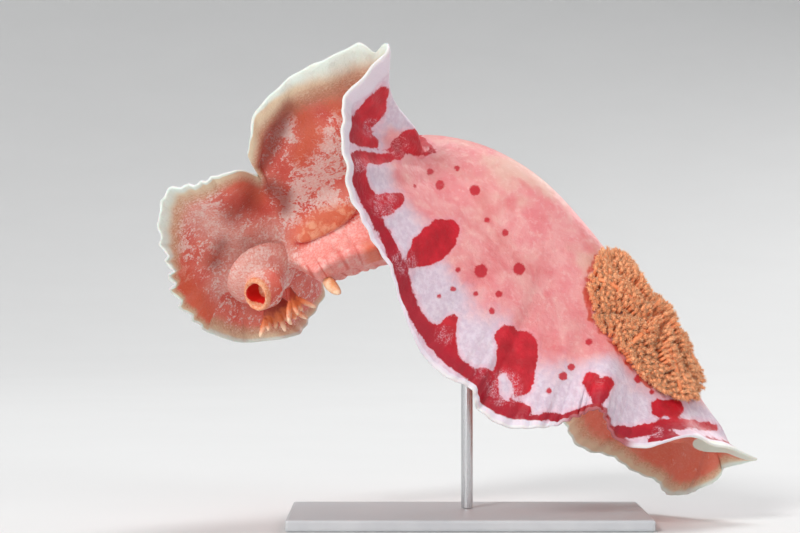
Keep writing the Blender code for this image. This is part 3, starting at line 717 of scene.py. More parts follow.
def skin_marks(points, marks):
    """What the skin's material reads: blotches, dots and the view place of each point."""
    seen = (marks["side"] == LEFT) & (marks["root"] > SEEN_FROM)
    known, speckled = seen_blotches(points)
    hidden = np.where(marks["side"] == LEFT, hidden_distance(points, LEFT), hidden_distance(points, RIGHT))
    near_middle = (marks["side"] == RIGHT) & (marks["line"] < 0.10)
    marks["blotch"] = np.clip(np.where(seen | near_middle, known, hidden), -BLOTCH_FAR, BLOTCH_FAR)
    marks["speckled"] = np.where(seen, speckled, 0.25)
    marks["known"] = seen.astype(float)
    marks["dots"] = hidden_dots(points, marks["side"])
    marks["view"] = np.column_stack([view_places(points), np.zeros(len(points))]) * MM
    marks["pink"] = ease(10, 44, marks["edge"])
    marks["ridge"] = 1 - ease(0.15, 0.55, marks["line"])


class Net:
    """A material's node tree, with short ways of making the nodes that it needs."""

    def __init__(self, name, roughness=0.4, **settings):
        self.material = bpy.data.materials.new(name)
        self.material.use_nodes = True
        self.tree = self.material.node_tree
        self.shader = self.tree.nodes["Principled BSDF"]
        self.set("Roughness", roughness)
        for socket, value in settings.items():
            self.set(socket.replace("_", " "), value)

    def set(self, socket, value):
        self.shader.inputs[socket].default_value = value

    def link(self, value, socket):
        if isinstance(value, bpy.types.NodeSocket):
            self.tree.links.new(value, socket)
        elif isinstance(value, tuple) and len(value) == 3 and socket.type == "RGBA":
            socket.default_value = (*value, 1.0)
        else:
            socket.default_value = value

    def node(self, kind, inputs, **settings):
        """The outputs of a new node with its settings and with its inputs by name or number."""
        made = self.tree.nodes.new("ShaderNode" + kind)
        for name, value in settings.items():
            setattr(made, name, value)
        for name, value in inputs.items():
            self.link(value, made.inputs[name])
        return made.outputs

    def mark(self, name, output="Fac"):
        return self.node("Attribute", {}, attribute_name=name)[output]

    def place(self):
        return self.node("TexCoord", {})["Object"]

    def math(self, kind, *values):
        return self.node("Math", dict(enumerate(values)), operation=kind)[0]

    def times(self, first, second):
        return self.math("MULTIPLY", first, second)

    def stir(self, value, noise, size):
        """The value, moved up and down by the noise by half the size at most."""
        return self.math("MULTIPLY_ADD", self.math("SUBTRACT", noise, 0.5), size, value)

    def noise(self, size, detail=2.0, roughness=0.5, distortion=0.0, vector=None):
        """Noise whose grain is size mm, from 0 to 1."""
        inputs = {"Vector": vector or self.place(), "Scale": 1 / (size * MM), "Detail": detail,
                  "Roughness": roughness, "Distortion": distortion}
        return self.node("TexNoise", inputs)["Fac"]

    def spread(self, value, low, high, start=0.0, end=1.0):
        """From start to end, smoothly, while the value goes from low to high."""
        inputs = {"Value": value, "From Min": low, "From Max": high, "To Min": start, "To Max": end}
        return self.node("MapRange", inputs, interpolation_type="SMOOTHSTEP")["Result"]

    def mix(self, share, first, second):
        return self.node("Mix", {"Factor": share, 6: first, 7: second}, data_type="RGBA")[2]

    def stain(self, colour, share, strength, stain):
        """The colour with a stain over it, as strong as the share times the strength."""
        return self.mix(self.times(share, strength), colour, stain)

    def bump(self, height, distance, strength=1.0, normal=None):
        inputs = {"Strength": strength, "Distance": distance * MM, "Height": height}
        if normal is not None:
            inputs["Normal"] = normal
        return self.node("Bump", inputs)["Normal"]

    def finish(self, colour, roughness=None, normal=None):
        self.link(colour, self.shader.inputs["Base Color"])
        if roughness is not None:
            self.link(roughness, self.shader.inputs["Roughness"])
        if normal is not None:
            self.link(normal, self.shader.inputs["Normal"])
        return self.material


FLESH = {
    "roughness": 0.42,
    "Specular_IOR_Level": 0.38,
    "Subsurface_Weight": 0.25,
    "Subsurface_Scale": 0.0022,
    "Subsurface_Radius": (1.0, 0.42, 0.32),
}


def flesh(name, **more):
    return Net(name, **{**FLESH, **more})


# How far the dots' outlines waver, mm, and the scale of the noise that moves them.
DOT_WAVER = 1.1
DOT_WAVER_SCALE = 420.0


def dots_on_view(net):
    """Distance from the photo's dots, less than 0 within one, mm."""
    waver = net.node("TexNoise", {"Scale": DOT_WAVER_SCALE, "Vector": net.place()})["Color"]
    amount = (DOT_WAVER * MM, DOT_WAVER * MM, 0.0)
    inputs = {0: waver, 1: amount, 2: net.mark("view", "Vector")}
    place = net.node("VectorMath", inputs, operation="MULTIPLY_ADD")[0]
    best = DOT_FAR
    for dot in DOTS:
        x, z, radius = on_view(*dot)
        middle = ((x + DOT_WAVER / 2) * MM, (z + DOT_WAVER / 2) * MM, 0.0)
        near = net.node("VectorMath", {0: place, 1: middle}, operation="DISTANCE")["Value"]
        best = net.math("MINIMUM", net.math("MULTIPLY_ADD", near, 1 / MM, -radius), best)
    return best


def back_flesh(net, coarse, middling, fine):
    """Pink back with pale marbling, and the white flesh of the margin."""
    pink = net.mix(net.spread(middling, 0.30, 0.70), (0.76, 0.225, 0.24), (0.80, 0.36, 0.35))
    ridge = net.spread(net.mark("ridge"), 0.0, 1.0, 0.15, 0.75)
    pink = net.stain(pink, net.spread(coarse, 0.46, 0.68), ridge, (0.72, 0.47, 0.38))
    pink = net.stain(pink, net.spread(fine, 0.52, 0.68), 0.30, (0.86, 0.56, 0.52))
    blush = net.spread(net.noise(17, 3.0, 0.6, 0.4), 0.50, 0.66)
    pink = net.stain(pink, blush, 0.45, (0.66, 0.12, 0.13))
    white = net.mix(net.spread(fine, 0.35, 0.7), (0.63, 0.49, 0.58), (0.73, 0.62, 0.69))
    ragged = net.stir(net.stir(net.mark("pink"), coarse, 0.9), fine, 0.30)
    return net.mix(net.spread(ragged, 0.22, 0.80), white, pink)


def blotch_share(net, away, fine):
    """How much of a place is crimson at a distance from a blotch; speckled ones let the pale through."""
    patchy = net.times(net.mark("speckled"), net.spread(fine, 0.30, 0.62))
    speckle = net.times(net.spread(net.noise(0.42, 2.0, 0.7), 0.47, 0.62), net.spread(patchy, 0.05, 0.9))
    return net.times(net.spread(away, 0.35, -0.35), net.math("MULTIPLY_ADD", speckle, -0.75, 1.0))


def dot_share(net, grain):
    """How much of a place is a crimson dot, of those that the photo shows or of the others."""
    seen = net.spread(net.stir(dots_on_view(net), grain, 1.2), 0.35, -0.45)
    hidden = net.spread(net.stir(net.mark("dots"), grain, 1.0), 0.25, -0.25)
    return net.math("MAXIMUM", net.times(seen, net.mark("known")), hidden)


def pale_tip(net, colour, fine, tip):
    """The colour with the white fold at the tail over it."""
    return net.mix(net.spread(net.stir(net.mark("tail_tip"), fine, 0.4), 0.35, 0.65), colour, tip)


def back_colour(net):
    """Colour of the upper side: pale margin, pink back with pale marbling, crimson marks, painted shade
    round the gills.
    """
    edge = net.mark("edge")
    middling = net.noise(9, 3.0, 0.6, 0.6)
    fine = net.noise(2.4, 3.0, 0.65)
    grain = net.noise(0.8, 2.0, 0.6)
    colour = back_flesh(net, net.noise(26, 3.0, 0.55), middling, fine)
    away = net.stir(net.stir(net.mark("blotch"), net.noise(4.5), 3.0), grain, 1.1)
    colour = net.stain(colour, net.spread(away, 2.4, 0.0), 0.30, (0.84, 0.34, 0.42))
    crimson = net.mix(net.spread(net.noise(7, 2.0), 0.3, 0.7), (0.44, 0.003, 0.013), (0.60, 0.007, 0.022))
    crimson = net.stain(crimson, net.spread(edge, 13, 4), 0.75, (0.32, 0.003, 0.018))
    colour = net.mix(blotch_share(net, away, fine), colour, crimson)
    colour = net.stain(colour, dot_share(net, grain), 0.94, (0.52, 0.008, 0.022))
    rim = net.math("DIVIDE", net.stir(edge, middling, 2.2), net.mark("rim_top"))
    colour = net.mix(net.spread(rim, 1.12, 0.88), colour, (0.74, 0.66, 0.73))
    # Painted shade: darker orange-red on the skin round the gills' foot, where the gills shade it.
    gill_base_shade = net.stir(net.mark("gill_base_shade"), net.noise(5.5, 2.0), 2.4)
    colour = net.stain(colour, net.spread(gill_base_shade, 0.85, 1.20), 0.85, (0.62, 0.075, 0.035))
    colour = pale_tip(net, colour, fine, (0.70, 0.72, 0.62))
    line = net.times(net.spread(edge, 0.8, 0.3), net.spread(net.mark("rim_top"), 0.9, 1.7))
    return net.stain(colour, line, 0.7, (0.78, 0.76, 0.74)), grain


def salmon_flesh(net, patches, fine):
    """Salmon red with pale marbling, and softer pink where it is dusty."""
    coarse = net.noise(16, 3.0, 0.55)
    salmon = net.mix(net.spread(coarse, 0.35, 0.65), (0.74, 0.115, 0.082), (0.82, 0.23, 0.17))
    salmon = net.stain(salmon, net.spread(fine, 0.50, 0.70), 0.40, (0.80, 0.38, 0.32))
    pale = net.mix(net.spread(fine, 0.3, 0.7), (0.86, 0.55, 0.48), (0.90, 0.80, 0.76))
    marble = net.stir(net.stir(patches, fine, 0.6), net.mark("marbled"), 0.34)
    colour = net.stain(salmon, net.spread(marble, 0.48, 0.62), 0.85, pale)
    soft_pink = net.mix(net.spread(fine, 0.3, 0.7), (0.76, 0.34, 0.28), (0.85, 0.62, 0.56))
    return net.stain(colour, net.mark("dusty"), 0.75, soft_pink)


def cream_rim(net, colour, patches, fine):
    """The colour with the tan and cream rim of the lower side over it."""
    share = net.math("DIVIDE", net.stir(net.mark("edge"), patches, 4.0), net.mark("rim_wide"))
    tan = net.mix(net.spread(fine, 0.35, 0.65), (0.60, 0.33, 0.20), (0.76, 0.56, 0.38))
    colour = net.stain(colour, net.spread(net.stir(share, fine, 1.6), 2.3, 1.1), 0.85, tan)
    return net.mix(net.spread(share, 1.25, 0.40), colour, (0.74, 0.60, 0.42))


def foot_colour(net, patches, fine):
    foot = net.mix(net.spread(fine, 0.35, 0.7), (0.84, 0.27, 0.24), (0.88, 0.46, 0.41))
    foot = net.stain(foot, net.spread(patches, 0.50, 0.64), 0.55, (0.90, 0.66, 0.60))
    # Painted shade: dark red in the creases across the foot's side.
    foot = net.stain(foot, net.spread(net.mark("fold"), 0.70, 0.15), 0.85, (0.66, 0.06, 0.040))
    return net.stain(foot, net.mark("orange"), 0.75, (0.76, 0.17, 0.07))


def underside_colour(net):
    """Colour of the lower side: salmon red and orange places, painted shade in its creases and hollows and
    under the head, cream and white rim, foot.
    """
    patches = net.noise(4.2, 4.0, 0.64, 0.6)
    fine = net.noise(0.9, 3.0, 0.7)
    colour = salmon_flesh(net, patches, fine)
    ragged = net.times(net.math("SUBTRACT", patches, 0.5), 0.9)
    orange = net.times(net.mark("orange"), net.spread(ragged, -0.25, 0.10, 0.55, 1.0))
    colour = net.stain(colour, orange, 0.80, (0.76, 0.155, 0.070))
    colour = cream_rim(net, colour, patches, fine)
    # Painted shade: dark red-brown in the crease of the rolled margin, in hollows, and under the head.
    painted_shade = net.times(net.mark("painted_shade"), net.spread(ragged, -0.30, 0.15, 0.75, 1.0))
    colour = net.stain(colour, painted_shade, 0.82, (0.29, 0.038, 0.022))
    whiteness = net.math("DIVIDE", net.mark("edge"), net.mark("rim_white"))
    colour = net.mix(net.spread(whiteness, 1.5, 0.35), colour, (0.74, 0.81, 0.74))
    colour = pale_tip(net, colour, fine, (0.72, 0.74, 0.64))
    colour = net.mix(net.mark("foot"), colour, foot_colour(net, patches, fine))
    leaf = net.mix(net.spread(patches, 0.40, 0.62), (0.70, 0.16, 0.075), (0.80, 0.34, 0.19))
    colour = net.stain(colour, net.mark("leaf"), 0.9, leaf)
    return net.mix(net.mark("groove"), colour, (0.56, 0.020, 0.012)), fine


def skin_material():
    net = flesh("dancer_skin")
    above, grain = back_colour(net)
    below, _ = underside_colour(net)
    colour = net.mix(net.spread(net.mark("up"), 0.30, 0.60), below, above)
    brink = net.times(net.mark("dark_edge"), net.spread(net.mark("edge"), 2.4, 1.2))
    colour = net.stain(colour, brink, 0.85, (0.36, 0.016, 0.018))
    rough = net.spread(net.noise(3.0, 2.0), 0.3, 0.7, 0.34, 0.50)
    wrinkled = net.bump(net.noise(3.2, 4.0, 0.6, 0.4), 0.9, 0.55)
    return net.finish(colour, rough, net.bump(grain, 0.25, 0.5, wrinkled))


def plain_flesh(name, low, high):
    """Flesh of two colours in patches."""
    net = flesh(name)
    patches = net.noise(5.0, 3.0, 0.6)
    grain = net.noise(1.0, 2.0, 0.6)
    colour = net.mix(net.spread(patches, 0.35, 0.65), low, high)
    colour = net.stain(colour, net.spread(grain, 0.55, 0.7), 0.4, (0.88, 0.66, 0.55))
    return net.finish(colour, net.spread(patches, 0.3, 0.7, 0.36, 0.5), net.bump(grain, 0.6, 0.6))


def tipped_flesh(name, root, middle, tip, **more):
    """Flesh whose colour goes from root to tip along the mark named tip."""
    net = flesh(name, **more)
    tipped = net.stir(net.mark("tip"), net.noise(2.0, 2.0), 0.5)
    colour = net.mix(net.spread(tipped, 0.15, 0.50), root, middle)
    colour = net.mix(net.spread(tipped, 0.50, 0.85), colour, tip)
    return net.finish(colour, None, net.bump(net.noise(1.0, 2.0), 0.3, 0.6))


def ring_frame(way, across):
    """Two directions square to the way, the first as near to across as can be."""
    way = unit(np.asarray(way, float))
    across = np.asarray(across, float)
    first = unit(across - way * dot(across, way))
    return way, first, np.cross(way, first)


def loft(rings):
    """Points and faces of a closed body through rings of equally many points."""
    sides = len(rings[0])
    points = np.concatenate([*rings, [np.mean(rings[0], axis=0)], [np.mean(rings[-1], axis=0)]])
    faces = [tuple(f) for f in grid_faces(len(rings), sides, 0, True)]
    first, last = len(points) - 2, len(points) - 1
    end = (len(rings) - 1) * sides
    for j in range(sides):
        faces.append((first, (j + 1) % sides, j))
        faces.append((last, end + j, end + (j + 1) % sides))
    return points, faces


def oval(middle, first, second, wide, deep, sides):
    angles = 2 * np.pi * np.arange(sides) / sides
    return middle + first * (wide * np.cos(angles))[:, None] + second * (deep * np.sin(angles))[:, None]


def tube(path, widths, depths, across, sides):
    """A closed tube along a path, with its own width and depth at each point."""
    path = np.asarray(path, float)
    rings = []
    for middle, way, wide, deep in zip(path, np.gradient(path, axis=0), widths, depths):
        _, first, second = ring_frame(way, across)
        rings.append(oval(middle, first, second, wide, deep, sides))
    return loft(rings)


def joined(parts):
    """One list of points and of faces from several."""
    points, faces, start = [], [], 0
    for part_points, part_faces in parts:
        points.append(part_points)
        faces += [tuple(start + i for i in f) for f in part_faces]
        start += len(part_points)
    return np.concatenate(points), faces


def melt(obj, grain, rounds):
    """Melts an object's bodies into one, with rounded inner corners."""
    remesh = obj.modifiers.new("melt", "REMESH")
    remesh.mode = "VOXEL"
    remesh.voxel_size = grain * MM
    soft = obj.modifiers.new("soft", "SMOOTH")
    soft.factor = 0.5
    soft.iterations = rounds
    mesh = bpy.data.meshes.new_from_object(obj.evaluated_get(bpy.context.evaluated_depsgraph_get()))
    obj.modifiers.clear()
    obj.data = mesh
    mesh.polygons.foreach_set("use_smooth", [True] * len(mesh.polygons))
    return obj


def dress(obj, material, slot, *nodes):
    """Gives an object its material, hangs it from the root's empty and hides the solids that it stands for;
    the slot is not used.
    """
    obj.data.materials.append(material)
    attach(obj, "root")
    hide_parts(*nodes)


FLESH_NODES = (
    "back_front", "back_middle", "back_rear", "mantle_front", "mantle_left_1", "mantle_left_2",
    "mantle_left_3", "mantle_right_1", "mantle_right_2", "mantle_right_3", "mantle_tail",
    "foot_front", "foot_rear", "flank_fold_left", "flank_fold_right",
)


# Tints of the underside: chains of spots as for the markings, each with its soft border's width, mm.
TINTS = {
    # Painted shade: the crease of the rolled margin, the lobe below it in the rim's shade, a hollow, and the
    # shade under the head.
    "painted_shade": (
        (3.5, ((288, 106, 4), (278, 128, 7), (270, 148, 6), (263, 166, 3))),
        (4.5, ((270, 186, 5), (283, 196, 7), (284, 208, 4))),
        (7.0, ((252, 190, 4), (247, 204, 6), (232, 214, 4))),
        (6.0, ((222, 244, 2), (214, 262, 3))),
        (6.0, ((238, 318, 6), (262, 330, 9), (300, 322, 10), (322, 300, 6))),
    ),
    "orange": (
        (5.0, ((182, 268, 3), (186, 288, 8), (204, 312, 9), (222, 332, 6))),
        (5.0, ((222, 182, 3), (246, 183, 4), (258, 196, 5))),
        (5.0, ((300, 112, 6), (312, 136, 8), (300, 158, 6))),
        (4.0, ((330, 100, 6), (342, 112, 5))),
        (5.0, ((294, 238, 3), (304, 222, 3))),
        (3.5, ((368, 246, 4), (376, 262, 6))),
    ),
    "marbled": (
        (6.0, ((328, 134, 5), (330, 160, 9), (318, 184, 13), (330, 204, 8))),
        (6.0, ((306, 168, 4), (290, 214, 6))),
        (5.0, ((286, 118, 3), (292, 140, 3))),
    ),
    "plain": (
        (6.0, ((282, 170, 4), (300, 148, 5), (312, 112, 7), (334, 96, 5))),
        (7.0, ((240, 196, 10), (262, 206, 6))),
        (6.0, ((192, 296, 12), (216, 322, 8))),
    ),
    "tail_tip": (
        (2.0, ((698, 444, 4), (716, 449, 6), (736, 456, 7), (757, 462, 7))),
    ),
    "saddle": (
        (5.0, ((390, 102, 6), (402, 116, 9), (416, 130, 5))),
    ),
    "dusty": (
        (8.0, ((196, 216, 8), (228, 236, 12), (252, 262, 14), (228, 288, 12))),
        (8.0, ((268, 236, 10), (288, 262, 8))),
    ),
}
# Rims of the lower side of the left margin: place round the edge, width of the cream rim and of the
# white one, mm.
RIM_UNDER = (
    (0.000, 1.5, 0.2), (0.045, 1.5, 0.1), (0.062, 4.0, 1.6), (0.076, 7.0, 5.0), (0.092, 8.0, 6.2),
    (0.112, 8.0, 5.4), (0.125, 6.5, 2.6), (0.145, 5.0, 0.8), (0.165, 4.0, 0.3), (0.205, 4.0, 0.3),
    (0.235, 6.0, 0.5), (0.262, 7.5, 0.7), (0.285, 9.0, 2.2), (0.305, 10.5, 5.0), (0.325, 11.5, 8.0),
    (0.350, 11.0, 8.0), (0.368, 6.0, 3.5), (0.385, 2.5, 1.0), (0.420, 1.6, 0.05), (1.000, 1.6, 0.05),
)
# The same two widths on the right margin, the white one by place along the spine.
RIM_FAR = 3.2
RIM_FAR_WHITE = ((0.00, 1.0), (0.84, 0.5), (0.93, 1.8), (1.00, 1.8))
# Width of the white rim on the upper side by place along the spine, on the left and on the right, mm.
RIM_TOP = (
    (0.00, 2.5), (0.27, 9.0), (0.32, 9.0), (0.355, 8.0), (0.375, 5.5), (0.392, 4.0), (0.41, 3.0),
    (0.43, 1.2), (0.452, 0.5), (0.49, 0.3), (0.51, 0.8), (0.53, 1.6), (0.55, 1.4), (0.565, 1.6),
    (0.595, 2.8), (0.627, 2.6), (0.65, 1.4), (0.665, 0.8), (0.69, 0.3), (0.765, 0.2), (0.79, 1.5),
    (0.810, 1.5), (0.825, 0.3), (0.87, 0.3), (0.885, 2.4), (0.91, 3.0), (1.00, 4.0),
)
RIM_TOP_FAR = 2.2
# How dark the left margin's very edge is, by place along the spine.
DARK_EDGE = ((0.66, 0), (0.68, 1), (0.775, 1), (0.79, 0))
# Places along the spine up to where the tints of the front count, and from where the tail's does.
FRONT_END = 0.52
TAIL_START = 0.86


def tint_weight(points, chains):
    """How near each point lies to chains of spots on the view, 0 to 1."""
    places = view_places(points)
    return np.max([1 - ease(-soft * 0.5, soft, view_distance(places, chain))
                   for soft, chain in chains], axis=0)


def marbling(weights):
    """How marbled the front of the underside is."""
    return 0.50 + 0.4 * weights["marbled"] - 0.4 * weights["plain"]


def tint_marks(points, marks):
    """What the skin's material reads of tints and rims."""
    root = marks["root"]
    left = marks["side"] == LEFT
    front = left & (root < FRONT_END)
    tail = left & (root > TAIL_START)
    weights = {name: np.where(tail if name == "tail_tip" else front, tint_weight(points, chains), 0.0)
               for name, chains in TINTS.items()}
    far = np.where(left, ease(0.60, 0.72, root), ease(0.35, 0.60, root))
    marks["painted_shade"] = weights["painted_shade"]
    marks["tail_tip"] = weights["tail_tip"]
    marks["pink"] = marks["pink"] * (1 - weights["saddle"])
    # Painted shade round the foot of the gills.
    marks["gill_base_shade"] = ease(1.16, 0.98, gill_share(points))
    marks["dusty"] = np.maximum(weights["dusty"], far * 0.25)
    marks["orange"] = np.maximum(weights["orange"], far * 0.8)
    marks["marbled"] = np.where(front, marbling(weights), 0.40 - 0.3 * far)
    turns, cream, white = zip(*RIM_UNDER)
    marks["dark_edge"] = np.where(left, read(DARK_EDGE, root), 0.0)
    marks["rim_wide"] = np.where(left, np.interp(marks["turn"], turns, cream), RIM_FAR)
    marks["rim_white"] = np.where(left, np.interp(marks["turn"], turns, white), read(RIM_FAR_WHITE, root))
    marks["rim_top"] = np.where(left, read(RIM_TOP, root), RIM_TOP_FAR)
    leaf, _ = flank_leaf(LEFT, root, marks["line"])
    marks["leaf"] = (1 - marks["up"]) * np.clip(leaf / FLANK_FOLD[-1] * 1.5, 0, 1) * (1 - marks["foot"])


def gill_share(points):
    """How far out points lie from the middle of the gills, 1 at their ring."""
    centre, along, _, left = frame_at(GILL_PLACE)
    away = points - centre
    return np.hypot((away @ along) / GILL_RING[0], (away @ left - GILL_ASIDE) / GILL_RING[1])


def make_dancer_skin():
    points, faces, marks = make_skin()
    skin_marks(points, marks)
    tint_marks(points, marks)
    dress(mesh_object("dancer_skin", points, faces, marks), skin_material(), "skin", *FLESH_NODES)


# Gills: the ring's middle along the spine and aside, its half length and half width, how many gills
# it has, their height, and a gill's stem as share of the way out and height, mm.
GILL_PLACE = 0.773
GILL_ASIDE = 8.0
GILL_RING = (36.0, 21.0)
GILL_COUNT = 6
GILL_HEIGHT = 9.5
GILL_STEM = ((0.22, -1.0), (0.24, 2.5), (0.36, 5.0), (0.55, 6.0), (0.75, 5.5), (0.92, 4.0))
GILL_CHANCE = 100
# Frills of a gill: the least space between two, how often a place is tried, length and radius, mm, the
# place of the middle in the length, the shape as shares of length and radius, and the twig's radii.
FRILL_SPACE = 1.62
FRILL_TRIES = 2400
FRILL_LENGTH = 2.8
FRILL_RADIUS = 0.85
FRILL_MIDDLE = 0.45
FRILL_SHAPE = ((0.0, 0.3), (0.1, 0.8), (0.35, 1.0), (0.65, 0.9), (0.88, 0.6), (1.0, 0.12))
TWIG_RADII = (0.9, 0.8, 0.6)
# Filaments that cover a frill: how many, length and half width, mm, and the faces of one.
FILAMENTS = 70
FILAMENT_LENGTH = 1.15
FILAMENT_WIDE = 0.10
FILAMENT_CHANCE = 200
FILAMENT_FACES = np.array((
    (0, 1, 4), (0, 4, 3), (1, 2, 5), (1, 5, 4), (2, 0, 3), (2, 3, 5), (3, 4, 6), (4, 5, 6), (5, 3, 6),
    (0, 2, 1),
))
# How near the tip's colour stems, twigs, frills and the seven points of a filament are.
STEM_TIP = 0.1
TWIG_TIP = 0.15
FRILL_TIP = 0.34
FILAMENT_TIPS = [0.34, 0.34, 0.34, 0.6, 0.6, 0.6, 1.0]
# Height above the back from which its surface is looked for, mm.
FAR_ABOVE = 60
# Size of a frill's patch on the gill's map.
PATCH = 0.0015


def ring_spot(angle, out):
    """Distances along and aside from the ring's middle, for a share of the way out at an angle."""
    return math.cos(angle) * out * GILL_RING[0], math.sin(angle) * out * GILL_RING[1]


class GillField:
    """The ground that the gills stand on: out from the ring's middle, aside, and height above the back."""

    def __init__(self):
        stations, lines = np.linspace(0.45, 1.0, 60), np.linspace(0, 1, 40)
        grids = []
        for side in (LEFT, RIGHT):
            t, v = np.meshgrid(turn_at(side, stations), lines, indexing="ij")
            places = body_places(side, t, v, False)[0].reshape(-1, 3)
            grids.append((places, grid_faces(len(stations), len(lines))))
        points, faces = joined(grids)
        corners = [tuple(int(i) for i in f) for f in faces]
        self.tree = BVHTree.FromPolygons([Vector(p) for p in points], corners)
        self.centre, self.along, self.up, self.left = frame_at(GILL_PLACE)

    def place(self, far, aside, height):
        start = self.centre + self.along * far + self.left * (aside + GILL_ASIDE)
        hit = self.tree.ray_cast(Vector(start + self.up * FAR_ABOVE), Vector(-self.up))[0]
        ground = np.array(hit) if hit else start
        return ground + self.up * height

    def on_ring(self, angle, out, height):
        return self.place(*ring_spot(angle, out), height)


def filaments(starts, ways, lengths, curls):
    """Thin tapered blades of three sides that curl: seven points for each, and its faces."""
    first = unit(np.cross(ways, np.array([0.31, 0.87, 0.38])))
    second = np.cross(ways, first)
    lengths = lengths[:, None]
    points = []
    for share, size in ((0.0, 1.0), (0.55, 0.72)):
        middle = starts + ways * lengths * share + curls * lengths * share * share
        for j in range(3):
            angle = 2 * math.pi * j / 3
            aside = first * math.cos(angle) + second * math.sin(angle)
            points.append(middle + aside * FILAMENT_WIDE * size)
    points.append(starts + (ways + curls) * lengths)
    points = np.stack(points, axis=1).reshape(-1, 3)
    faces = (np.arange(len(starts))[:, None, None] * 7 + FILAMENT_FACES[None]).reshape(-1, 3)
    return points, faces


def frill_places(chance, middle_angle):
    """Places of a gill's frills: angle, and distance out as a share, never closer than their space."""
    found, places = [], []
    for _ in range(FRILL_TRIES):
        out = math.sqrt(chance.uniform(0.02, 1.0))
        angle = middle_angle + math.pi / GILL_COUNT * chance.uniform(-1.0, 1.0)
        spot = np.array(ring_spot(angle, out))
        if all(np.linalg.norm(spot - other) > FRILL_SPACE for other in found):
            found.append(spot)
            places.append((angle, out))
    return places


def frill_filaments(centre, way, length, draw):
    """Filaments that stand out all round a frill and lean towards its tip."""
    shares = draw.uniform(0.02, 1.0, (FILAMENTS, 1))
    aims = draw.normal(0, 1, (FILAMENTS, 3))
    sideways = unit(aims - way * (aims @ way)[:, None])
    sizes = read(FRILL_SHAPE, shares)
    starts = centre + way * length * (shares - FRILL_MIDDLE) + sideways * sizes * FRILL_RADIUS * 0.85
    lean = unit(sideways * (1.1 - 0.6 * shares) + way * (0.15 + 0.9 * shares)
                + draw.normal(0, 0.30, (FILAMENTS, 3)))
    lengths = FILAMENT_LENGTH * draw.uniform(0.6, 1.2, FILAMENTS)
    return filaments(starts, lean, lengths, draw.normal(0, 0.2, (FILAMENTS, 3)))


def frill_height(index, angle, out, aside, chance):
    """Height of a frill's middle: a dome over the gill, with lumps on it."""
    dome = (1 - 0.50 * out**3) * (1 - 0.58 * aside**2) * GILL_HEIGHT
    lump = math.sin(angle * 7.0 + index) * math.cos(out * 7.0 + index)
    return max(1.8, (dome - FRILL_RADIUS) * chance.uniform(0.84, 1.0) + 1.7 * lump)


def frill(field, index, middle_angle, place, chance, draw):
    """A frill's twig, core and filaments, each as points, faces, tip marks and place on the map."""
    angle, out = place
    aside = abs(angle - middle_angle) * GILL_COUNT / math.pi
    centre = field.on_ring(angle, out, frill_height(index, angle, out, aside, chance))
    root = field.on_ring(middle_angle + (angle - middle_angle) * 0.93, out * 0.94, 0.5)
    twig = tube((root, (root + centre) / 2, centre), TWIG_RADII, TWIG_RADII, field.along, 6)
    outward = unit(centre - field.place(0, 0, 1.0))
    way = unit(outward * (0.35 + 0.65 * out) + field.up * (0.95 - 0.55 * out) + draw.normal(0, 0.36, 3))
    length = FRILL_LENGTH * chance.uniform(0.8, 1.15)
    path = [centre + way * length * (f - FRILL_MIDDLE) for f, _ in FRILL_SHAPE]
    radii = [FRILL_RADIUS * size for _, size in FRILL_SHAPE]
    core = tube(path, radii, radii, field.along + 0.02, 7)
    blades = frill_filaments(centre, way, length, draw)
    spot = (0.5 + 0.42 * math.cos(angle) * out, 0.5 + 0.42 * math.sin(angle) * out)
    return [
        (*twig, [TWIG_TIP] * len(twig[0]), spot),
        (*core, [FRILL_TIP] * len(core[0]), spot),
        (*blades, FILAMENT_TIPS * FILAMENTS, spot),
    ]


def make_gill(field, index, material):
    """One gill: a stem along its part of the ring, and frills on and round it."""
    chance = random.Random(GILL_CHANCE + index)
    draw = np.random.default_rng(FILAMENT_CHANCE + index)
    middle_angle = 2 * math.pi * (index + 0.5) / GILL_COUNT
    path = [field.on_ring(middle_angle, out, height) for out, height in GILL_STEM]
    radii = np.linspace(2.0, 0.8, len(path))
    stem = tube(path, radii, radii, field.up, 10)
    pieces = [(*stem, [STEM_TIP] * len(stem[0]), (0.5, 0.5))]
    for place in frill_places(chance, middle_angle):
        pieces += frill(field, index, middle_angle, place, chance, draw)
    tips = np.concatenate([piece_tips for _, _, piece_tips, _ in pieces])
    gill = mesh_object(f"gill_plume_{index + 1}", *joined([piece[:2] for piece in pieces]), {"tip": tips})
    bake_map(gill, [spot for _, faces, _, spot in pieces for _ in faces])
    dress(gill, material, "gill", f"gill_{index + 1}")


def bake_map(obj, spots):
    """A map named OFBake on which each frill is a small patch at its root's place."""
    layer = obj.data.uv_layers.new(name="OFBake")
    corners = []
    for polygon in obj.data.polygons:
        x, y = spots[polygon.index]
        for k in range(polygon.loop_total):
            angle = 2 * math.pi * k / polygon.loop_total
            corners += [x + PATCH * math.cos(angle), y + PATCH * math.sin(angle)]
    layer.data.foreach_set("uv", corners)


# The anal papilla's height and radius, mm.
PAPILLA = ((-1.0, 2.6), (1.0, 2.2), (3.0, 1.9), (5.0, 1.3))


def make_gills():
    field = GillField()
    material = tipped_flesh("gill_flesh", (0.96, 0.32, 0.13), (0.99, 0.50, 0.25), (1.00, 0.70, 0.44),
                            Subsurface_Weight=0.0, Sheen_Weight=0.7, Sheen_Roughness=0.45,
                            Sheen_Tint=(1.0, 0.50, 0.26, 1.0))
    for index in range(GILL_COUNT):
        make_gill(field, index, material)
    path = [field.place(0, 0, height) for height, _ in PAPILLA]
    radii = [radius for _, radius in PAPILLA]
    papilla = mesh_object("anal_tube", *tube(path, radii, radii, field.along, 20))
    material = plain_flesh("papilla_flesh", (0.70, 0.20, 0.14), (0.84, 0.42, 0.34))
    dress(papilla, material, "gill", "anal_papilla")


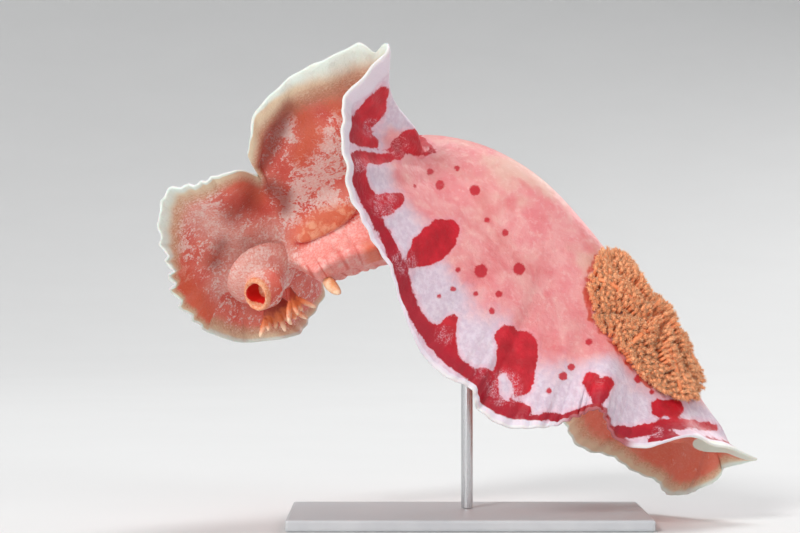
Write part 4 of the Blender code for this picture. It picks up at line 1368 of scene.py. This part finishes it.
# Head: its place along the spine, how deep below the belly it starts, the neck's half width and half
# length, and the neck's rings as depth and how many times as wide, mm.
HEAD_PLACE = 0.030
HEAD_DEEP = 4.0
NECK = (6.6, 7.6)
NECK_RINGS = ((-4.0, 2.4), (-0.5, 2.0), (0.8, 1.65), (2.0, 1.38), (3.0, 1.20))
# The way that the mouth faces, and the head's rings out to the lips and back into the mouth, as
# distance along that way, half width and half height, mm.
HEAD_WAY = (-0.50, -0.77, -0.40)
HEAD_RINGS = (
    (1.5, 8.0, 9.0), (4.5, 7.2, 8.4), (7.4, 6.6, 7.8), (9.6, 5.8, 7.0), (10.2, 5.0, 6.2),
    (9.4, 4.2, 5.4), (6.5, 3.5, 4.6), (3.0, 2.4, 3.2),
)
HEAD_SIDES = 48
# How many rings the smooth head has, the one in the middle of the lips, and how many it is from
# there to the lips' end.
SMOOTH_RINGS = 26
LIP_RING = 15
LIP_RINGS = 9
# Oral tentacles: node, root, the way to the tip, the way across, half width, length, mm, and how many
# fingers the fan has.
FEELERS = (
    ("oral_tentacle_left", (-70.5, -8.0, -8.5), (0.42, 0.10, -0.90), (0.70, 0.62, 0.35), 3.4, 6.5, 4),
    ("oral_tentacle_right", (-77.5, 4.0, -12.5), (0.35, -0.10, -0.93), (0.93, 0.05, 0.36), 7.5, 8.5, 7),
)


# Shape of a tentacle as shares of its length and half width with its half thickness in mm, and of a
# finger as share of its length with its half width and half thickness in mm.
FEELER_SHAPE = ((-0.25, 0.45, 1.4), (0.0, 0.5, 1.3), (0.35, 0.8, 1.1), (0.7, 1.0, 1.0), (1.0, 0.9, 0.7))
FINGER_SHAPE = ((0, 1.2, 1.0), (0.3, 1.35, 1.1), (0.6, 1.25, 1.0), (0.85, 1.0, 0.9), (1.0, 0.5, 0.45))
FINGER_LENGTH = 6.5


def belly_point(s, deeper=0.0):
    """The middle of the belly at a place along the spine, or a point below it, mm."""
    points, _, back, *_ = body_places(LEFT, turn_at(LEFT, np.array([s])), np.array([0.0]), True)
    return points[0] - back[0] * deeper


def head_material():
    """The underside's colours, then an orange lip, then the red inside of the mouth."""
    net = flesh("head_flesh")
    below, fine = underside_colour(net)
    tip = net.stir(net.mark("tip"), net.noise(2.0, 2.0), 0.35)
    lip = net.mix(net.spread(fine, 0.35, 0.65), (0.76, 0.24, 0.10), (0.86, 0.50, 0.32))
    colour = net.mix(net.spread(tip, 0.12, 0.40), below, lip)
    colour = net.mix(net.spread(tip, 0.55, 0.80), colour, (0.60, 0.008, 0.005))
    return net.finish(colour, None, net.bump(net.noise(2.6, 4.0, 0.6), 0.7, 0.5))


def neck_rings():
    """Rings from within the belly down to the neck."""
    _, _, back, _ = frame_at(HEAD_PLACE)
    _, first, second = ring_frame(-back, (1, 0, 0))
    wide, long = NECK
    return [oval(belly_point(HEAD_PLACE, deep), first, second, wide * flare, long * flare, HEAD_SIDES)
            for deep, flare in NECK_RINGS]


def mouth_rings(start):
    """Rings from the neck out to the folded lips and back into the mouth."""
    way, first, second = ring_frame(HEAD_WAY, (1, 0, 0))
    angles = 2 * np.pi * np.arange(HEAD_SIDES) / HEAD_SIDES
    rings = []
    for i, (far, wide, high) in enumerate(smooth_curve(HEAD_RINGS)(np.linspace(0, 1, SMOOTH_RINGS))):
        ring = oval(start + way * far, first, second, wide, high, HEAD_SIDES)
        lip = bump((i - LIP_RING) / LIP_RINGS)
        folds = 0.45 * lip * np.abs(np.sin(angles * 5.5)) ** 0.7
        rings.append(ring + unit(ring - ring.mean(axis=0)) * (folds - 0.2 * lip)[:, None])
    return rings


def head_marks(points, start):
    """What the head's material reads: lips, inside of the mouth, and the underside's tints."""
    way = unit(np.array(HEAD_WAY))
    far = (points - start) @ way
    off = np.linalg.norm(points - start - way * far[:, None], axis=1)
    lips = 0.5 * ease(7.2, 8.8, far) * ease(9.5, 8.0, off)
    marks = {"tip": np.maximum(lips, ease(5.4, 4.3, off) * ease(1.5, 5.0, far))}
    marks["edge"] = np.full(len(points), 30.0)
    marks["rim_wide"] = marks["rim_white"] = np.ones(len(points))
    for name, chains in TINTS.items():
        marks[name] = tint_weight(points, chains)
    marks["marbled"] = marbling(marks)
    return marks


def make_head():
    start = belly_point(HEAD_PLACE, HEAD_DEEP)
    neck, mouth = neck_rings(), mouth_rings(start)
    between = [neck[-1] + (mouth[0] - neck[-1]) * f for f in (0.3, 0.55, 0.8)]
    head = melt(mesh_object("head_and_mouth", *loft(neck + between + mouth)), 0.42, 9)
    for name, values in head_marks(points_of(head), start).items():
        add_mark(head.data, name, values)
    dress(head, head_material(), "head", "head")


def finger(i, count, fan_middle, half, way, first, second):
    """One finger of a tentacle's fan."""
    lean = (i / (count - 1) - 0.5) * 2
    start = fan_middle + first * half * 0.80 * lean
    toward = unit(way + first * 0.75 * lean + second * 0.25 * math.sin(2.3 * i))
    reach = FINGER_LENGTH + 1.6 * math.cos(2.0 * i)
    shares, widths, depths = zip(*FINGER_SHAPE)
    path = [start + toward * reach * f + second * 0.9 * f * f for f in shares]
    return tube(path, widths, depths, first, 10)


def make_feelers():
    # Dark maroon roots are painted shade, as of the fans' shaded webs; the orange middles and pale tips are
    # the feelers' own colours.
    material = tipped_flesh("feeler_flesh", (0.34, 0.035, 0.02), (0.70, 0.19, 0.065), (0.86, 0.62, 0.44))
    shares, widths, depths = zip(*FEELER_SHAPE)
    for name, root, way, across, half, length, fingers in FEELERS:
        way, first, second = ring_frame(way, across)
        root = np.array(root)
        path = [root + way * length * f for f in shares]
        parts = [tube(path, [half * wide for wide in widths], depths, first, 16)]
        fan_middle = root + way * length * 0.72
        parts += [finger(i, fingers, fan_middle, half, way, first, second) for i in range(fingers)]
        obj = melt(mesh_object(name + "_fan", *joined(parts)), 0.28, 4)
        add_mark(obj.data, "tip", (points_of(obj) - root) @ way / (length + 6.0))
        dress(obj, material, "head", name)


# Small lobes that hang from the foot: place along the spine, base radius, length, mm, and their shape
# as share of the length and of the radius.
FOOT_LOBES = (("foot_lobe_front", 0.122, 2.4, 9.0), ("foot_lobe_rear", 0.280, 2.8, 7.5))
LOBE_SHAPE = ((0, 0.8), (0.2, 1.0), (0.4, 1.08), (0.6, 1.0), (0.8, 0.8), (0.94, 0.5), (1, 0.2))


def make_foot_lobes():
    material = plain_flesh("lobe_flesh", (0.78, 0.36, 0.16), (0.88, 0.62, 0.42))
    for name, s, radius, length in FOOT_LOBES:
        _, along, back, left = frame_at(s)
        start = belly_point(s, read(FOOT_DEPTH, s) * 0.9 - 1.5) - left * 2.0
        down = unit(-back + left * 0.1)
        path = [start + down * (length + 2) * f + along * 2.0 * f * f for f, _ in LOBE_SHAPE]
        widths = [radius * size for _, size in LOBE_SHAPE]
        depths = [radius * 0.8 * size for _, size in LOBE_SHAPE]
        obj = mesh_object(name + "_digit", *tube(path, widths, depths, along, 20))
        dress(obj, material, "foot", name)


# Rhinophores: place along the spine, distance aside, the outlines of the collar with the stalk and of
# the tip as height and radius, and the club's plates: how many, the first one's height and radius,
# the height of one, mm, and its shape as shares of its height and radius.
RHINOPHORE_PLACE = 0.075
RHINOPHORE_APART = 6.5
RHINOPHORE_STALK = ((-2.5, 3.1), (-0.6, 3.0), (0.2, 2.7), (0.9, 2.2), (2.2, 1.9), (3.2, 1.9))
RHINOPHORE_TIP = ((0.5, 1.5), (1.3, 1.2), (2.0, 0.7), (2.3, 0.25))
PLATE_COUNT = 13
PLATE_START = 3.4
PLATE_WIDE = 3.1
PLATE_RISE = 0.56
PLATE_SHAPE = ((0, 0.74), (0.45, 1), (0.62, 0.97))


def rhinophore_outline():
    """Height and radius from the collar over the club's plates to the tip."""
    outline = list(RHINOPHORE_STALK)
    for i in range(PLATE_COUNT):
        wide = PLATE_WIDE * (1 - 0.032 * i) * (0.72 + 0.28 * min(1.0, i / 2.0))
        low = PLATE_START + PLATE_RISE * i
        outline += [(low + PLATE_RISE * rise, wide * size) for rise, size in PLATE_SHAPE]
    top = outline[-1][0]
    return outline + [(top + height, radius) for height, radius in RHINOPHORE_TIP]


def make_rhinophores():
    material = tipped_flesh("rhinophore_flesh", (0.72, 0.24, 0.16), (0.66, 0.16, 0.08), (0.88, 0.62, 0.48))
    middle, along, back, left = frame_at(RHINOPHORE_PLACE)
    outline = rhinophore_outline()
    widths = [radius for _, radius in outline]
    for name, side in (("rhinophore_left", LEFT), ("rhinophore_right", RIGHT)):
        way = unit(back + left * side * 0.18 - along * 0.12)
        turn = float(turn_at(side, RHINOPHORE_PLACE))
        line = RHINOPHORE_APART / np.linalg.norm(edge_at[side](turn)[1:4] - middle)
        start = on_top(side, turn, float(line))
        path = [start + way * height for height, _ in outline]
        points, faces = tube(path, widths, [wide * 0.85 for wide in widths], along, 32)
        tips = np.clip((points - start) @ way / outline[-1][0], 0, 1)
        obj = mesh_object(name + "_club", points, faces, {"tip": tips})
        dress(obj, material, "rhinophore", name)


def stand_materials():
    plate = Net("stand_plate_paint", 0.34, Metallic=0.0, Coat_Weight=0.15, Coat_Roughness=0.25)
    cloud = plate.noise(18, 3.0, 0.6)
    grain = plate.noise(0.35, 2.0, 0.6)
    colour = plate.mix(plate.spread(cloud, 0.3, 0.7), (0.50, 0.51, 0.53), (0.56, 0.57, 0.585))
    plate.finish(colour, plate.spread(cloud, 0.3, 0.7, 0.30, 0.40), plate.bump(grain, 0.05, 0.35))
    steel = Net("stand_rod_steel", 0.3, Metallic=1.0)
    stretched = steel.node("Mapping", {"Scale": (1.0, 1.0, 0.03), "Vector": steel.place()})["Vector"]
    lines = steel.noise(0.3, 3.0, 0.6, 0.0, stretched)
    colour = steel.mix(lines, (0.52, 0.53, 0.55), (0.68, 0.68, 0.69))
    steel.finish(colour, steel.spread(lines, 0.3, 0.7, 0.22, 0.38), steel.bump(lines, 0.03, 0.5))
    for node, net in (("stand_base", plate), ("stand_rod", steel)):
        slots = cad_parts[node].data.materials
        slots.clear()
        slots.append(net.material)


SENSOR = 36.0


def make_camera():
    """The photo's camera, level and looking from the animal's left side."""
    data = bpy.data.cameras.new("camera")
    data.sensor_width = SENSOR
    data.lens = SENSOR * CAMERA_FAR / (FRAME_STEPS[0] * VIEW_MM)
    camera = placed("camera", data)
    across, up = VIEW_MIDDLE
    camera.location = to_metres((across, -CAMERA_FAR, up))
    camera.rotation_euler = (math.radians(90), 0, 0)
    bpy.context.scene.camera = camera


# Lights: name, place, size, in metres, and power in watts. All aim at one place.
LIGHTS = (
    ("key", (-1.5, -2.4, 2.0), 0.9, 60),
    ("fill", (2.4, -2.2, 1.2), 1.6, 16),
    ("low", (-1.9, -2.4, 0.35), 0.8, 14),
    ("top", (0.4, 0.9, 2.8), 1.6, 34),
    ("back", (1.6, 2.4, 1.6), 1.2, 20),
)
LIGHTS_AIM = (0, 0, 0.11)


def make_lights():
    for name, place, size, power in LIGHTS:
        data = bpy.data.lights.new(name, "AREA")
        data.shape = "DISK"
        data.size = size
        data.energy = power
        light = placed(name, data)
        light.location = place
        light.rotation_euler = (Vector(LIGHTS_AIM) - Vector(place)).to_track_quat("-Z", "Y").to_euler()


# The floor: a wide flat disc that turns up into a wall all round, as radius and height in metres.
FLOOR_FLAT = 1.5
FLOOR_BEND = 4.5
FLOOR_WALL = 4.8
FLOOR_STEPS = 40
FLOOR_SIDES = 96


def make_floor():
    outline = [(FLOOR_FLAT, 0.0)]
    for step in range(1, FLOOR_STEPS + 1):
        angle = math.radians(90 * step / FLOOR_STEPS)
        outline.append((FLOOR_FLAT + FLOOR_BEND * math.sin(angle), FLOOR_BEND * (1 - math.cos(angle))))
    outline.append((FLOOR_FLAT + FLOOR_BEND, FLOOR_WALL))
    turns = [2 * math.pi * j / FLOOR_SIDES for j in range(FLOOR_SIDES)]
    points = [(0.0, 0.0, 0.0)]
    for radius, height in outline:
        points += [(radius * math.cos(a), radius * math.sin(a), height) for a in turns]
    faces = [(0, 1 + j, 1 + (j + 1) % FLOOR_SIDES) for j in range(FLOOR_SIDES)]
    faces += [f[::-1] for f in grid_faces(len(outline), FLOOR_SIDES, 1, True)]
    floor = placed("floor", smooth_mesh("floor", points, faces))
    net = Net("floor_paper", 0.8)
    net.finish(net.mix(net.noise(120, 3.0), (0.74, 0.74, 0.735), (0.77, 0.77, 0.765)))
    floor.data.materials.append(net.material)


def make_studio():
    make_floor()
    make_lights()
    world = bpy.data.worlds.new("studio")
    world.use_nodes = True
    background = world.node_tree.nodes["Background"].inputs
    background["Color"].default_value = (0.80, 0.81, 0.83, 1)
    background["Strength"].default_value = 0.52
    bpy.context.scene.world = world
    bpy.context.scene.view_settings.view_transform = "Standard"


make_dancer_skin()
make_head()
make_feelers()
make_foot_lobes()
make_rhinophores()
make_gills()
stand_materials()
make_camera()
make_studio()
bpy.context.view_layer.update()
